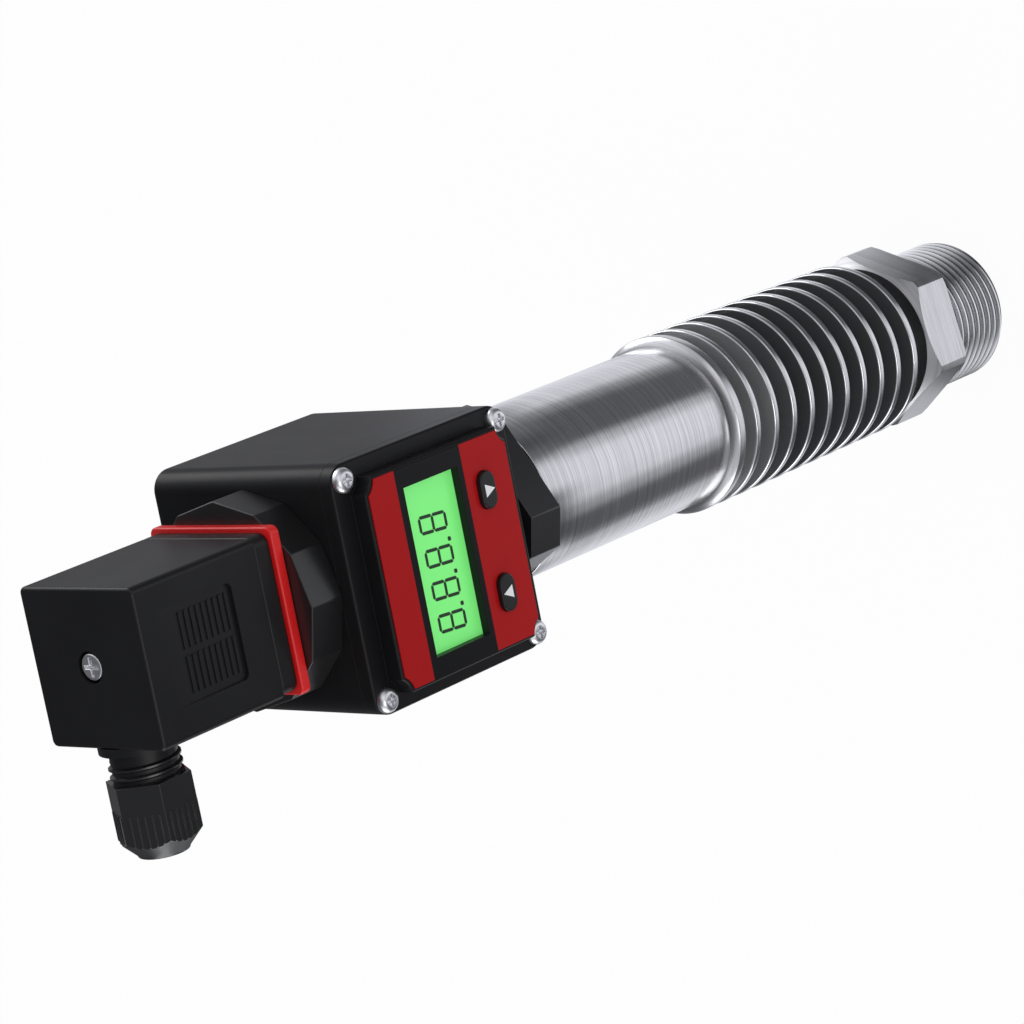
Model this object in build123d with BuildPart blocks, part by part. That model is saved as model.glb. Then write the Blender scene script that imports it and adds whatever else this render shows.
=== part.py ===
from build123d import *
import os
from math import cos, radians, tan

# Pressure sensor with a finned cooling neck, a display head and a square cable plug.
# Millimetres, +Z up along the sensor axis, display facing -Y, cable gland facing -X.
# The origin lies on the axis, on the shoulder that seals against the process wall.

# Process fitting, turned from one bar
thread_diameter = 30.0
thread_pitch = 2.0
thread_length = 19.9
thread_chamfer = 1.2
hex_across_flats = 33.0
hex_corner_diameter = 37.2
hex_height = 11.2
hex_base_diameter = 35.8
hex_face_diameter = 32.0
hex_base_angle = 30.0
hex_face_angle = 36.0
hex_turn = 8.7
port_diameter = 6.0
port_mouth_diameter = 12.0
port_mouth_depth = 8.0
fin_count = 10
fin_pitch = 6.0
fin_thickness = 1.6
fin_diameter = 36.5
fin_edge = 0.25
fin_root_diameter = 25.0
neck_gap = 6.3
flange_rim = 1.9
flange_cone = 1.3
flange_gap = 3.5

# Tube casing and the sensing cell inside it
tube_diameter = 33.0
tube_wall = 1.5
tube_length = 55.2
spigot_length = 17.0
fit_gap = 0.05
hole_gap = 0.2
cell_diameter = 19.0
cell_height = 9.0
cell_floor = 5.0
ring_section = 1.5
retainer_height = 4.0
amplifier_thickness = 1.6
board_lift = 11.0
board_margin = 1.5
spacer_seat = 1.0
pin_count = 5
pin_circle = 5.0
pin_radius = 0.5
pin_tip = 1.4

# Lower collar, display housing and upper collar
lower_collar_height = 8.4
lower_collar_corners = 37.7
lower_collar_flats = 32.2
lower_collar_turn = 31.1
neck_height = 5.3
neck_diameter = 28.0
housing_width = 46.0
housing_back_width = 45.2
housing_height = 46.5
housing_front = 19.0
housing_back = 24.0
housing_wall = 2.5
housing_corner = 4.0
upper_collar_radius = 19.5
upper_collar_sides = 12
upper_collar_height = 7.9
stem_diameter = 22.0
stem_bore = 16.0
lock_ring_diameter = 30.0
lock_ring_height = 3.0

# Display cover, label, screen and buttons
cover_thickness = 3.0
cover_seal = 0.6
seal_edge = 0.5
seal_corner = 6.0
platform_rise = 3.5
platform_wall = 1.5
platform_chamfer = 0.3
scallop_radius = 3.6
label_thickness = 0.2
label_inset = 0.6
screw_head_diameter = 4.6
screw_head_height = 1.6
screw_shank_diameter = 2.5
screw_length = 9.0
window_width = 31.2
window_height = 14.4
window_lift = 2.3
screen_thickness = 2.8
screen_margin = 1.8
backlight_thickness = 3.0
board_thickness = 1.6
post_diameter = 3.2
post_screw_diameter = 1.6
post_hole_depth = 4.5
button_length = 7.0
button_width = 3.9
button_rise = 1.0
button_travel = 0.5
button_spacing = 19.2
button_drop = 11.0
button_gap = 0.1
button_flange = 0.7
switch_size = 6.0
switch_height = 2.6
plunger_diameter = 3.2
plunger_depth = 0.9

# Cable plug, with its seal, insert, hood, screw and gland
gasket_height = 2.2
gasket_corner = 1.4
gasket_edge = 0.4
gasket_opening = 21.0
insert_height = 3.7
insert_size = 28.8
insert_corner = 2.0
insert_body_height = 13.0
hood_cable_side = 0.5
hood_height = 29.6
hood_wall = 2.0
hood_corner = 1.2
hood_top_edge = 0.7
blade_length = 14.0
blade_width = 6.3
blade_thickness = 0.8
blade_circle = 18.0
centre_screw_head = 5.0
centre_screw_head_height = 1.5
centre_screw_shank = 3.0
head_recess = 2.2
head_recess_diameter = 5.8
washer_thickness = 0.5
slot_length = 3.4
slot_width = 0.7
slot_depth = 0.8
column_diameter = 8.0
base_hole_depth = 7.0
panel_start = 7.0
panel_length = 18.0
panel_width = 17.4
panel_depth = 0.6
panel_corner = 1.2
rib_count = 9
rib_pitch = 1.45
rib_width = 0.7
rib_length = 6.6
rib_offset = 3.9
rib_start = 8.4
rib_rise = 0.22
gland_drop = 7.6
gland_boss_diameter = 15.2
gland_boss_length = 1.6
gland_thread_diameter = 12.0
gland_thread_length = 12.0
gland_neck_gap = 5.6
gland_nut_flats = 13.6
gland_nut_length = 9.9
gland_dome_length = 3.9
gland_mouth_diameter = 8.2
mouth_lip = 0.5
cone_round = 0.5
grip_count = 5
grip_pitch = 1.35
grip_overrun = 1.0
grip_width = 0.4
grip_length = 4.6
grip_height = 0.25
grommet_diameter = 9.0
grommet_length = 7.0
grommet_rim = 1.2
grommet_bore = 6.0
gland_washer_thickness = 0.5
cable_bore = 7.0

# Sizes that follow from a neighbour
gasket_size = insert_size + 1.8
hood_size = insert_size - 0.3
insert_body = insert_size - 5.2
platform_width = housing_width - 6.4
platform_height = housing_height - 8.7
screw_spacing_x = housing_width - 5.8
screw_spacing_z = housing_height - 5.5
board_size = housing_width - 2 * housing_wall - 3.0
post_spacing_x = platform_width - 7.6
post_spacing_z = window_height + 14.4

# Heights along the axis, from the sealing shoulder upwards
fins_start = hex_height + neck_gap
fins_top = fins_start + (fin_count - 1) * fin_pitch + fin_thickness
flange_start = fins_top + flange_gap
flange_top = flange_start + flange_rim + flange_cone
tube_top = flange_top + tube_length
collar_top = tube_top + lower_collar_height
housing_bottom = collar_top + neck_height
housing_top = housing_bottom + housing_height
housing_middle = housing_bottom + housing_height / 2
plug_seat = housing_top + upper_collar_height
insert_bottom = plug_seat + gasket_height
hood_bottom = insert_bottom + insert_height
hood_top = hood_bottom + hood_height
gland_height = hood_top - gland_drop

# Depths behind the display, from the cover's front face inwards
cover_front = -housing_front - cover_thickness
platform_front = cover_front - platform_rise
label_front = platform_front - label_thickness
screen_front = platform_front + platform_wall
backlight_front = screen_front + screen_thickness
board_front = backlight_front + backlight_thickness
switch_front = board_front - switch_height

os.makedirs("parts", exist_ok=True)


def save(part, name):
    """Give a finished piece its name and write it to its own file."""
    part.label = name
    export_step(part, f"parts/{name}.step")


def front_plane(y):
    """A plane that faces the reader of the display, at depth y, centred on the housing."""
    return Plane(origin=(0, y, housing_middle), x_dir=(1, 0, 0), z_dir=(0, -1, 0))


def seal_frame():
    """Outline of the cover gasket, drawn in the open sketch."""
    RectangleRounded(housing_width - 2 * seal_edge, housing_height - 2 * seal_edge, housing_corner - seal_edge)
    RectangleRounded(housing_width - 2 * housing_wall, housing_height - 2 * housing_wall, seal_corner,
                     mode=Mode.SUBTRACT)
    with Locations(*screw_spots):
        Circle(screw_shank_diameter / 2 + hole_gap, mode=Mode.SUBTRACT)


tube_radius = tube_diameter / 2
tube_bore = tube_radius - tube_wall
fin_radius = fin_diameter / 2
root_radius = fin_root_diameter / 2
thread_radius = thread_diameter / 2
screw_spots = [(x * screw_spacing_x / 2, z * screw_spacing_z / 2) for x in (-1, 1) for z in (-1, 1)]
post_spots = [(x * post_spacing_x / 2, z * post_spacing_z / 2) for x in (-1, 1) for z in (-1, 1)]
button_spots = {"button_up": -button_spacing / 2, "button_down": button_spacing / 2}

# Hexagon of the process fitting, with its corners turned down and both ends chamfered
hex_corner = hex_corner_diameter / 2
hex_base = hex_base_diameter / 2
hex_face = hex_face_diameter / 2
base_slope = (hex_corner - hex_base) * tan(radians(hex_base_angle))
face_slope = (hex_corner - hex_face) * tan(radians(hex_face_angle))
with BuildPart() as hex_block:
    with BuildSketch(Plane.XY):
        RegularPolygon(hex_across_flats / 2, 6, major_radius=False, rotation=hex_turn)
    extrude(amount=hex_height)
    with BuildSketch(Plane.XZ):
        with BuildLine():
            Polyline((0, 0), (hex_base, 0), (hex_corner, base_slope), (hex_corner, hex_height - face_slope),
                     (hex_face, hex_height), (0, hex_height), close=True)
        make_face()
    revolve(axis=Axis.Z, mode=Mode.INTERSECT)

# Process fitting: thread, fins, flange and the spigot that the tube sits on
cell_seat = flange_top + cell_floor
with BuildPart() as process_fitting:
    with BuildSketch(Plane.XZ):
        with BuildLine():
            outline = [
                (0, -thread_length),
                (thread_radius - thread_chamfer, -thread_length),
                (thread_radius, -thread_length + thread_chamfer),
                (thread_radius, 0),
                (root_radius, 0),
            ]
            for fin in range(fin_count):
                low = fins_start + fin * fin_pitch
                high = low + fin_thickness
                outline += [
                    (root_radius, low),
                    (fin_radius - fin_edge, low),
                    (fin_radius, low + fin_edge),
                    (fin_radius, high - fin_edge),
                    (fin_radius - fin_edge, high),
                    (root_radius, high),
                ]
            outline += [
                (root_radius, flange_start),
                (fin_radius - fin_edge, flange_start),
                (fin_radius, flange_start + fin_edge),
                (fin_radius, flange_start + flange_rim),
                (tube_radius + fit_gap, flange_top),
                (tube_bore - fit_gap, flange_top),
                (tube_bore - fit_gap, flange_top + spigot_length),
                (0, flange_top + spigot_length),
            ]
            Polyline(*outline, close=True)
        make_face()
    revolve(axis=Axis.Z)
    add(hex_block.part)
    # pressure port through the neck, and the recess that holds the cell and its retainer
    with BuildSketch(Plane.XZ):
        with BuildLine():
            port = port_diameter / 2
            mouth = port_mouth_diameter / 2
            recess = cell_diameter / 2 + fit_gap
            top = flange_top + spigot_length
            Polyline((0, -thread_length), (mouth, -thread_length), (mouth, -thread_length + port_mouth_depth),
                     (port, -thread_length + port_mouth_depth + mouth - port), (port, cell_seat),
                     (recess, cell_seat), (recess, top), (0, top), close=True)
        make_face()
    revolve(axis=Axis.Z, mode=Mode.SUBTRACT)
save(process_fitting.part, "process_fitting")

# Sensing cell: a turned capsule with a groove for its sealing ring
ring_low = cell_seat + 1.6
with BuildPart() as pressure_cell:
    with BuildSketch(Plane.XZ):
        with BuildLine():
            r = cell_diameter / 2
            groove = r - ring_section
            Polyline((0, cell_seat + 0.4), (r - 1.6, cell_seat + 0.4), (r - 1.6, cell_seat), (r, cell_seat),
                     (r, ring_low), (groove, ring_low), (groove, ring_low + ring_section + 0.2),
                     (r, ring_low + ring_section + 0.2), (r, cell_seat + cell_height - 1.5),
                     (r - 2, cell_seat + cell_height - 1.5), (r - 2, cell_seat + cell_height),
                     (0, cell_seat + cell_height), close=True)
        make_face()
    revolve(axis=Axis.Z)
    # glass-sealed pins, on a circle
    with BuildSketch(Plane.XY.offset(cell_seat + cell_height)):
        with PolarLocations(pin_circle, pin_count):
            Circle(pin_radius)
    extrude(amount=board_lift + amplifier_thickness + pin_tip)
save(pressure_cell.part, "pressure_cell")

# Sealing ring, squeezed between the cell's groove and the recess
with BuildPart() as cell_ring:
    ring_inner = cell_diameter / 2 - ring_section
    ring_outer = cell_diameter / 2 + fit_gap
    with BuildSketch(Plane.XZ):
        with Locations(((ring_inner + ring_outer) / 2, ring_low + ring_section / 2 + 0.1)):
            Circle((ring_outer - ring_inner) / 2 - 0.02)
    revolve(axis=Axis.Z)
save(cell_ring.part, "cell_ring")

# Threaded ring that holds the cell down, with two slots for its key
with BuildPart() as cell_retainer:
    with BuildSketch(Plane.XY.offset(cell_seat + cell_height - 1.5)):
        Circle(cell_diameter / 2)
        Circle(cell_diameter / 2 - 1.95, mode=Mode.SUBTRACT)
    extrude(amount=retainer_height)
    with BuildSketch(Plane.XY.offset(cell_seat + cell_height - 1.5 + retainer_height)):
        Rectangle(cell_diameter + 1, 2)
    extrude(amount=-1.2, mode=Mode.SUBTRACT)
save(cell_retainer.part, "cell_retainer")

# Stainless tube, pushed on the fitting's spigot and welded round its foot
with BuildPart() as tube_casing:
    with BuildSketch(Plane.XY.offset(flange_top)):
        Circle(tube_radius)
        Circle(tube_bore, mode=Mode.SUBTRACT)
    extrude(amount=tube_length)
save(tube_casing.part, "tube_casing")

# Amplifier board: a round board on the cell's pins, with its parts on top
board_level = cell_seat + cell_height + board_lift
with BuildPart() as amplifier_board:
    with BuildSketch(Plane.XY.offset(board_level)):
        Circle(tube_bore - board_margin)
        with PolarLocations(pin_circle, pin_count):
            Circle(pin_radius + fit_gap, mode=Mode.SUBTRACT)
    extrude(amount=amplifier_thickness)
    with BuildSketch(Plane.XY.offset(board_level + amplifier_thickness)):
        with Locations((0, -8.5)):
            Rectangle(9, 4.5)
        with Locations((-5, 8.5), (5, 8.5)):
            Rectangle(5, 3.5)
    extrude(amount=1.5)
save(amplifier_board.part, "amplifier_board")

# Spacer sleeve that carries the board on the spigot
with BuildPart() as board_spacer:
    with BuildSketch(Plane.XY.offset(flange_top + spigot_length)):
        Circle(tube_bore - fit_gap)
        Circle(tube_bore - board_margin - spacer_seat, mode=Mode.SUBTRACT)
    extrude(amount=board_level - flange_top - spigot_length)
save(board_spacer.part, "board_spacer")

# Lower collar: four flats with cut corners, a plug into the tube and a stem into the housing
stem_radius = stem_diameter / 2
with BuildPart() as lower_collar:
    with BuildSketch(Plane.XY.offset(tube_top)):
        Rectangle(lower_collar_flats, lower_collar_flats, rotation=lower_collar_turn)
        Rectangle(lower_collar_corners, lower_collar_corners, rotation=lower_collar_turn + 45,
                  mode=Mode.INTERSECT)
    extrude(amount=lower_collar_height)
    with BuildSketch(Plane.XY.offset(tube_top - 6.0)):
        Circle(tube_bore - fit_gap)
    extrude(amount=6.0)
    with BuildSketch(Plane.XY.offset(collar_top)):
        Circle(neck_diameter / 2)
    extrude(amount=neck_height)
    with BuildSketch(Plane.XY.offset(housing_bottom)):
        Circle(stem_radius)
    extrude(amount=housing_wall + lock_ring_height + 1.0)
    with BuildSketch(Plane.XY.offset(tube_top - 6.0)):
        Circle(stem_bore / 2)
    extrude(amount=60.0, mode=Mode.SUBTRACT)
save(lower_collar.part, "lower_collar")

# Display housing: a box that narrows towards its back, open at the front
with BuildPart() as display_housing:
    with BuildSketch(front_plane(-housing_front)):
        RectangleRounded(housing_width, housing_height, housing_corner)
    with BuildSketch(front_plane(housing_back)):
        RectangleRounded(housing_back_width, housing_height, housing_corner)
    loft()
    back_edges = display_housing.faces().sort_by(Axis.Y)[-1].edges()
    fillet(back_edges, radius=1.5)
    inner_corner = housing_corner - 2
    with BuildSketch(front_plane(-housing_front - 1)):
        RectangleRounded(housing_width - 2 * housing_wall, housing_height - 2 * housing_wall, inner_corner)
    with BuildSketch(front_plane(housing_back - housing_wall)):
        RectangleRounded(housing_back_width - 2 * housing_wall, housing_height - 2 * housing_wall, inner_corner)
    loft(mode=Mode.SUBTRACT)
    # corner pillars that take the cover screws
    with BuildSketch(front_plane(-housing_front)):
        with Locations(*screw_spots):
            Circle(2.7)
        RectangleRounded(housing_width - housing_wall, housing_height - housing_wall, inner_corner + 1,
                         mode=Mode.INTERSECT)
    extrude(amount=-16.0)
    with BuildSketch(front_plane(-housing_front)):
        with Locations(*screw_spots):
            Circle(screw_shank_diameter / 2)
    extrude(amount=-screw_length, mode=Mode.SUBTRACT)
    # holes for the stems of both collars
    with BuildSketch(Plane.XY.offset(housing_bottom - 1)):
        Circle(stem_radius + fit_gap)
    extrude(amount=housing_height + 2, mode=Mode.SUBTRACT)
save(display_housing.part, "display_housing")

# Lock rings: round nuts inside the housing, one on each stem
ring_floor = {"lower_lock_ring": housing_bottom + housing_wall,
              "upper_lock_ring": housing_top - housing_wall - lock_ring_height}
for ring_name, level in ring_floor.items():
    with BuildPart() as lock_ring:
        with BuildSketch(Plane.XY.offset(level)):
            Circle(lock_ring_diameter / 2)
            with PolarLocations(lock_ring_diameter / 2, 6):
                Rectangle(2.4, 3.0, mode=Mode.SUBTRACT)
            Circle(stem_radius + fit_gap, mode=Mode.SUBTRACT)
        extrude(amount=lock_ring_height)
    save(lock_ring.part, ring_name)

# Upper collar: a twelve-sided ring with a stem down into the housing
base_flange = 25.0
base_flange_height = 1.6
base_body = 20.4
base_depth = 5.0
with BuildPart() as upper_collar:
    with BuildSketch(Plane.XY.offset(housing_top)):
        RegularPolygon(upper_collar_radius, upper_collar_sides)
    extrude(amount=upper_collar_height)
    with BuildSketch(Plane.XY.offset(housing_top)):
        Circle(stem_radius)
    extrude(amount=-housing_wall - lock_ring_height - 1.0)
    with BuildSketch(Plane.XY.offset(plug_seat)):
        Rectangle(base_flange + 2 * fit_gap, base_flange + 2 * fit_gap)
    extrude(amount=-base_flange_height, mode=Mode.SUBTRACT)
    with BuildSketch(Plane.XY.offset(plug_seat)):
        Circle(base_body / 2)
    extrude(amount=-base_flange_height - base_depth, mode=Mode.SUBTRACT)
    with BuildSketch(Plane.XY.offset(plug_seat)):
        Circle(stem_bore / 2)
    extrude(amount=-40.0, mode=Mode.SUBTRACT)
save(upper_collar.part, "upper_collar")

# Cover gasket: a flat frame that widens round the screws, let into the back of the cover
with BuildPart() as cover_gasket:
    with BuildSketch(front_plane(-housing_front)):
        seal_frame()
    extrude(amount=cover_seal)
save(cover_gasket.part, "cover_gasket")

# Display cover: a plate with a raised platform, scalloped round the screws
with BuildPart() as display_cover:
    with BuildSketch(front_plane(-housing_front)):
        RectangleRounded(housing_width, housing_height, housing_corner)
    extrude(amount=cover_thickness)
    cover_edges = display_cover.faces().sort_by(Axis.Y)[0].edges()
    fillet(cover_edges, radius=0.6)
    with BuildSketch(front_plane(cover_front)):
        Rectangle(platform_width, platform_height)
        with Locations(*screw_spots):
            Circle(scallop_radius, mode=Mode.SUBTRACT)
    extrude(amount=platform_rise)
    chamfer(display_cover.faces().sort_by(Axis.Y)[0].edges(), length=platform_chamfer)
    # hollow behind the platform
    with BuildSketch(front_plane(screen_front)):
        Rectangle(platform_width - 2 * platform_wall - 4, platform_height - 2 * platform_wall)
        Rectangle(platform_width - 2 * platform_wall, platform_height - 2 * platform_wall - 4)
    extrude(amount=-(platform_rise + cover_thickness), mode=Mode.SUBTRACT)
    # window, button holes and screw holes
    with BuildSketch(front_plane(platform_front)):
        with Locations((0, window_lift)):
            Rectangle(window_width, window_height)
    extrude(amount=-platform_wall, mode=Mode.SUBTRACT)
    with BuildSketch(front_plane(platform_front)):
        with Locations(*[(x, -button_drop) for x in button_spots.values()]):
            SlotOverall(button_length + 2 * button_gap, button_width + 2 * button_gap)
    extrude(amount=-platform_wall, mode=Mode.SUBTRACT)
    with BuildSketch(front_plane(cover_front)):
        with Locations(*screw_spots):
            Circle(screw_shank_diameter / 2 + hole_gap)
    extrude(amount=-cover_thickness, mode=Mode.SUBTRACT)
    # recess for the gasket
    with BuildSketch(front_plane(-housing_front)):
        seal_frame()
    extrude(amount=cover_seal, mode=Mode.SUBTRACT)
    # posts that carry the display board
    with BuildSketch(front_plane(screen_front)):
        with Locations(*post_spots):
            Circle(post_diameter / 2)
    extrude(amount=-(board_front - screen_front))
    with BuildSketch(front_plane(board_front)):
        with Locations(*post_spots):
            Circle(post_screw_diameter / 2)
    extrude(amount=post_hole_depth, mode=Mode.SUBTRACT)
save(display_cover.part, "display_cover")

# Cover screws: domed heads with a cross recess
with BuildPart() as cover_screws:
    with BuildSketch(front_plane(cover_front)):
        with Locations(*screw_spots):
            Circle(screw_head_diameter / 2)
    extrude(amount=screw_head_height)
    fillet(cover_screws.faces().sort_by(Axis.Y)[:4].edges(), radius=1.2)
    with BuildSketch(front_plane(cover_front)):
        with Locations(*screw_spots):
            Circle(screw_shank_diameter / 2)
    extrude(amount=-(screw_length - 1.0))
    with BuildSketch(front_plane(cover_front - screw_head_height)):
        with Locations(*screw_spots):
            Rectangle(2.4, 0.6)
            Rectangle(0.6, 2.4)
    extrude(amount=-0.9, mode=Mode.SUBTRACT)
save(cover_screws.part, "cover_screws")

# Label: a film on the platform, cut out for the window and the buttons
with BuildPart() as label_film:
    with BuildSketch(front_plane(platform_front)):
        Rectangle(platform_width - 2 * label_inset, platform_height - 2 * label_inset)
        with Locations(*screw_spots):
            Circle(scallop_radius + label_inset, mode=Mode.SUBTRACT)
        with Locations((0, window_lift)):
            Rectangle(window_width, window_height, mode=Mode.SUBTRACT)
        with Locations(*[(x, -button_drop) for x in button_spots.values()]):
            SlotOverall(button_length + 2 * button_gap, button_width + 2 * button_gap, mode=Mode.SUBTRACT)
    extrude(amount=label_thickness)
save(label_film.part, "label_film")

# Screen, its backlight and the board behind them
screen_width = window_width + 2 * screen_margin
screen_height = window_height + 2 * screen_margin
with BuildPart() as display_screen:
    with BuildSketch(front_plane(screen_front)):
        with Locations((0, window_lift)):
            Rectangle(screen_width, screen_height)
    extrude(amount=-screen_thickness)
save(display_screen.part, "display_screen")

with BuildPart() as screen_backlight:
    with BuildSketch(front_plane(backlight_front)):
        with Locations((0, window_lift)):
            Rectangle(screen_width - 1, screen_height - 1)
    extrude(amount=-backlight_thickness)
save(screen_backlight.part, "screen_backlight")

with BuildPart() as display_board:
    with BuildSketch(front_plane(board_front)):
        Rectangle(board_size, board_size)
        with Locations(*screw_spots):
            Circle(3.4, mode=Mode.SUBTRACT)
        with Locations(*post_spots):
            Circle(post_screw_diameter / 2 + 0.1, mode=Mode.SUBTRACT)
    extrude(amount=-board_thickness)
    with BuildSketch(front_plane(board_front + board_thickness)):
        with Locations((-8, 6)):
            Rectangle(8, 8)
        with Locations((9, 8)):
            Rectangle(6, 5)
    extrude(amount=-1.4)
save(display_board.part, "display_board")

# Small screws that hold the board on the cover's posts
with BuildPart() as board_screws:
    with BuildSketch(front_plane(board_front + board_thickness)):
        with Locations(*post_spots):
            Circle(post_diameter / 2)
    extrude(amount=-1.2)
    fillet(board_screws.faces().sort_by(Axis.Y)[-4:].edges(), radius=0.4)
    with BuildSketch(front_plane(board_front + board_thickness)):
        with Locations(*post_spots):
            Circle(post_screw_diameter / 2 - 0.02)
    extrude(amount=board_thickness + post_hole_depth - 0.5)
save(board_screws.part, "board_screws")

# Tactile switches on the board, one under each button
with BuildPart() as button_switches:
    with BuildSketch(front_plane(switch_front)):
        with Locations(*[(x, -button_drop) for x in button_spots.values()]):
            Rectangle(switch_size, switch_size)
    extrude(amount=-(board_front - switch_front))
    with BuildSketch(front_plane(switch_front)):
        with Locations(*[(x, -button_drop) for x in button_spots.values()]):
            Circle(plunger_diameter / 2 + fit_gap)
    extrude(amount=-plunger_depth - button_travel - 0.4, mode=Mode.SUBTRACT)
save(button_switches.part, "button_switches")

# Buttons: caps with a flange behind the cover and a plunger into the switch
for button_name, x in button_spots.items():
    with BuildPart() as button:
        cap_front = label_front - button_rise
        flange_level = screen_front + fit_gap
        with BuildSketch(front_plane(cap_front)):
            with Locations((x, -button_drop)):
                SlotOverall(button_length, button_width)
        extrude(amount=-(flange_level - cap_front))
        fillet(button.faces().sort_by(Axis.Y)[0].edges(), radius=0.3)
        with BuildSketch(front_plane(flange_level)):
            with Locations((x, -button_drop)):
                SlotOverall(button_length + 1.6, button_width + 1.6)
        extrude(amount=-button_flange)
        with BuildSketch(front_plane(flange_level + button_flange)):
            with Locations((x, -button_drop)):
                Circle(plunger_diameter / 2)
        extrude(amount=-(switch_front + plunger_depth - flange_level - button_flange))
    save(button.part, button_name)

# Male plug base in the upper collar, with its four blades
blade_foot = plug_seat + gasket_height
with BuildPart() as plug_base:
    with BuildSketch(Plane.XY.offset(plug_seat - base_flange_height)):
        Rectangle(base_flange, base_flange)
    extrude(amount=base_flange_height)
    with BuildSketch(Plane.XY.offset(plug_seat)):
        RectangleRounded(gasket_opening - 0.4, gasket_opening - 0.4, 2)
    extrude(amount=gasket_height)
    with BuildSketch(Plane.XY.offset(plug_seat - base_flange_height)):
        Circle(base_body / 2 - fit_gap)
    extrude(amount=-base_depth)
    with BuildSketch(Plane.XY.offset(blade_foot)):
        Circle(centre_screw_shank / 2)
    extrude(amount=-base_hole_depth, mode=Mode.SUBTRACT)
save(plug_base.part, "plug_base")

blade_spots = [(blade_circle / 2, 0, 0), (-blade_circle / 2, 0, 0), (0, blade_circle / 2, 90), (0, -blade_circle / 2, 90)]
with BuildPart() as contact_blades:
    for bx, by, turn in blade_spots:
        with BuildSketch(Plane.XY.offset(blade_foot)):
            with Locations(Location((bx, by, 0), (0, 0, turn))):
                Rectangle(blade_thickness, blade_width)
        extrude(amount=blade_length)
save(contact_blades.part, "contact_blades")

# Profile gasket between the collar and the plug
with BuildPart() as profile_gasket:
    with BuildSketch(Plane.XY.offset(plug_seat)):
        RectangleRounded(gasket_size, gasket_size, gasket_corner)
        RectangleRounded(gasket_opening, gasket_opening, 2, mode=Mode.SUBTRACT)
    extrude(amount=gasket_height)
    flat_faces = profile_gasket.faces().filter_by(Axis.Z)
    outer_edges = [edge for face in flat_faces for edge in face.outer_wire().edges()]
    fillet(outer_edges, radius=gasket_edge)
save(profile_gasket.part, "profile_gasket")

# Terminal insert: the foot that shows, and the body that holds the terminals
with BuildPart() as terminal_insert:
    with BuildSketch(Plane.XY.offset(insert_bottom)):
        RectangleRounded(insert_size, insert_size, insert_corner)
    extrude(amount=insert_height)
    with BuildSketch(Plane.XY.offset(hood_bottom)):
        RectangleRounded(insert_body, insert_body, 1.2)
    extrude(amount=insert_body_height)
    # lip for prising the insert out
    with BuildSketch(Plane.XY.offset(insert_bottom + 0.6)):
        with Locations((-insert_size / 2, 0)):
            Rectangle(1.8, 12)
    extrude(amount=2.4)
    # slots for the blades and the hole for the screw
    for bx, by, turn in blade_spots:
        with BuildSketch(Plane.XY.offset(insert_bottom)):
            with Locations(Location((bx, by, 0), (0, 0, turn))):
                Rectangle(blade_thickness + 0.1, blade_width + 0.1)
        extrude(amount=blade_length, mode=Mode.SUBTRACT)
    with BuildSketch(Plane.XY.offset(insert_bottom)):
        Circle(centre_screw_shank / 2 + hole_gap)
    extrude(amount=insert_height + insert_body_height, mode=Mode.SUBTRACT)
save(terminal_insert.part, "terminal_insert")

# Hood: a square cap with a ribbed panel on its front and the gland thread on its side
hood_front = Plane(origin=(0, -hood_size / 2, hood_bottom), x_dir=(1, 0, 0), z_dir=(0, -1, 0))
panel_middle = panel_start + panel_length / 2
with BuildPart() as panel_cut:
    with BuildSketch(hood_front):
        with Locations((0, panel_middle)):
            RectangleRounded(panel_width, panel_length, panel_corner)
    extrude(amount=-panel_depth)
    # the floor rises until it meets the face at the far end
    with BuildSketch(Plane.YZ.offset(-panel_width / 2)):
        with BuildLine():
            face = -hood_size / 2
            low = hood_bottom + panel_start
            Polyline((face, low), (face + panel_depth, low), (face, low + panel_length), close=True)
        make_face()
    extrude(amount=panel_width, mode=Mode.INTERSECT)

# Two groups of ribs that stand a little out of the panel's floor
with BuildPart() as panel_ribs:
    with BuildSketch(hood_front.offset(rib_rise)):
        for side in (-1, 1):
            for rib in range(rib_count):
                with Locations((side * rib_offset, rib_start + rib * rib_pitch)):
                    Rectangle(rib_length, rib_width)
    extrude(amount=-panel_depth - 2 * rib_rise)
    with BuildSketch(Plane.YZ.offset(-panel_width / 2)):
        with BuildLine():
            Polyline((face - rib_rise + panel_depth, low), (face + 2 * panel_depth, low),
                     (face + panel_depth, low + panel_length), (face - rib_rise, low + panel_length), close=True)
        make_face()
    extrude(amount=panel_width, mode=Mode.INTERSECT)

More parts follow.
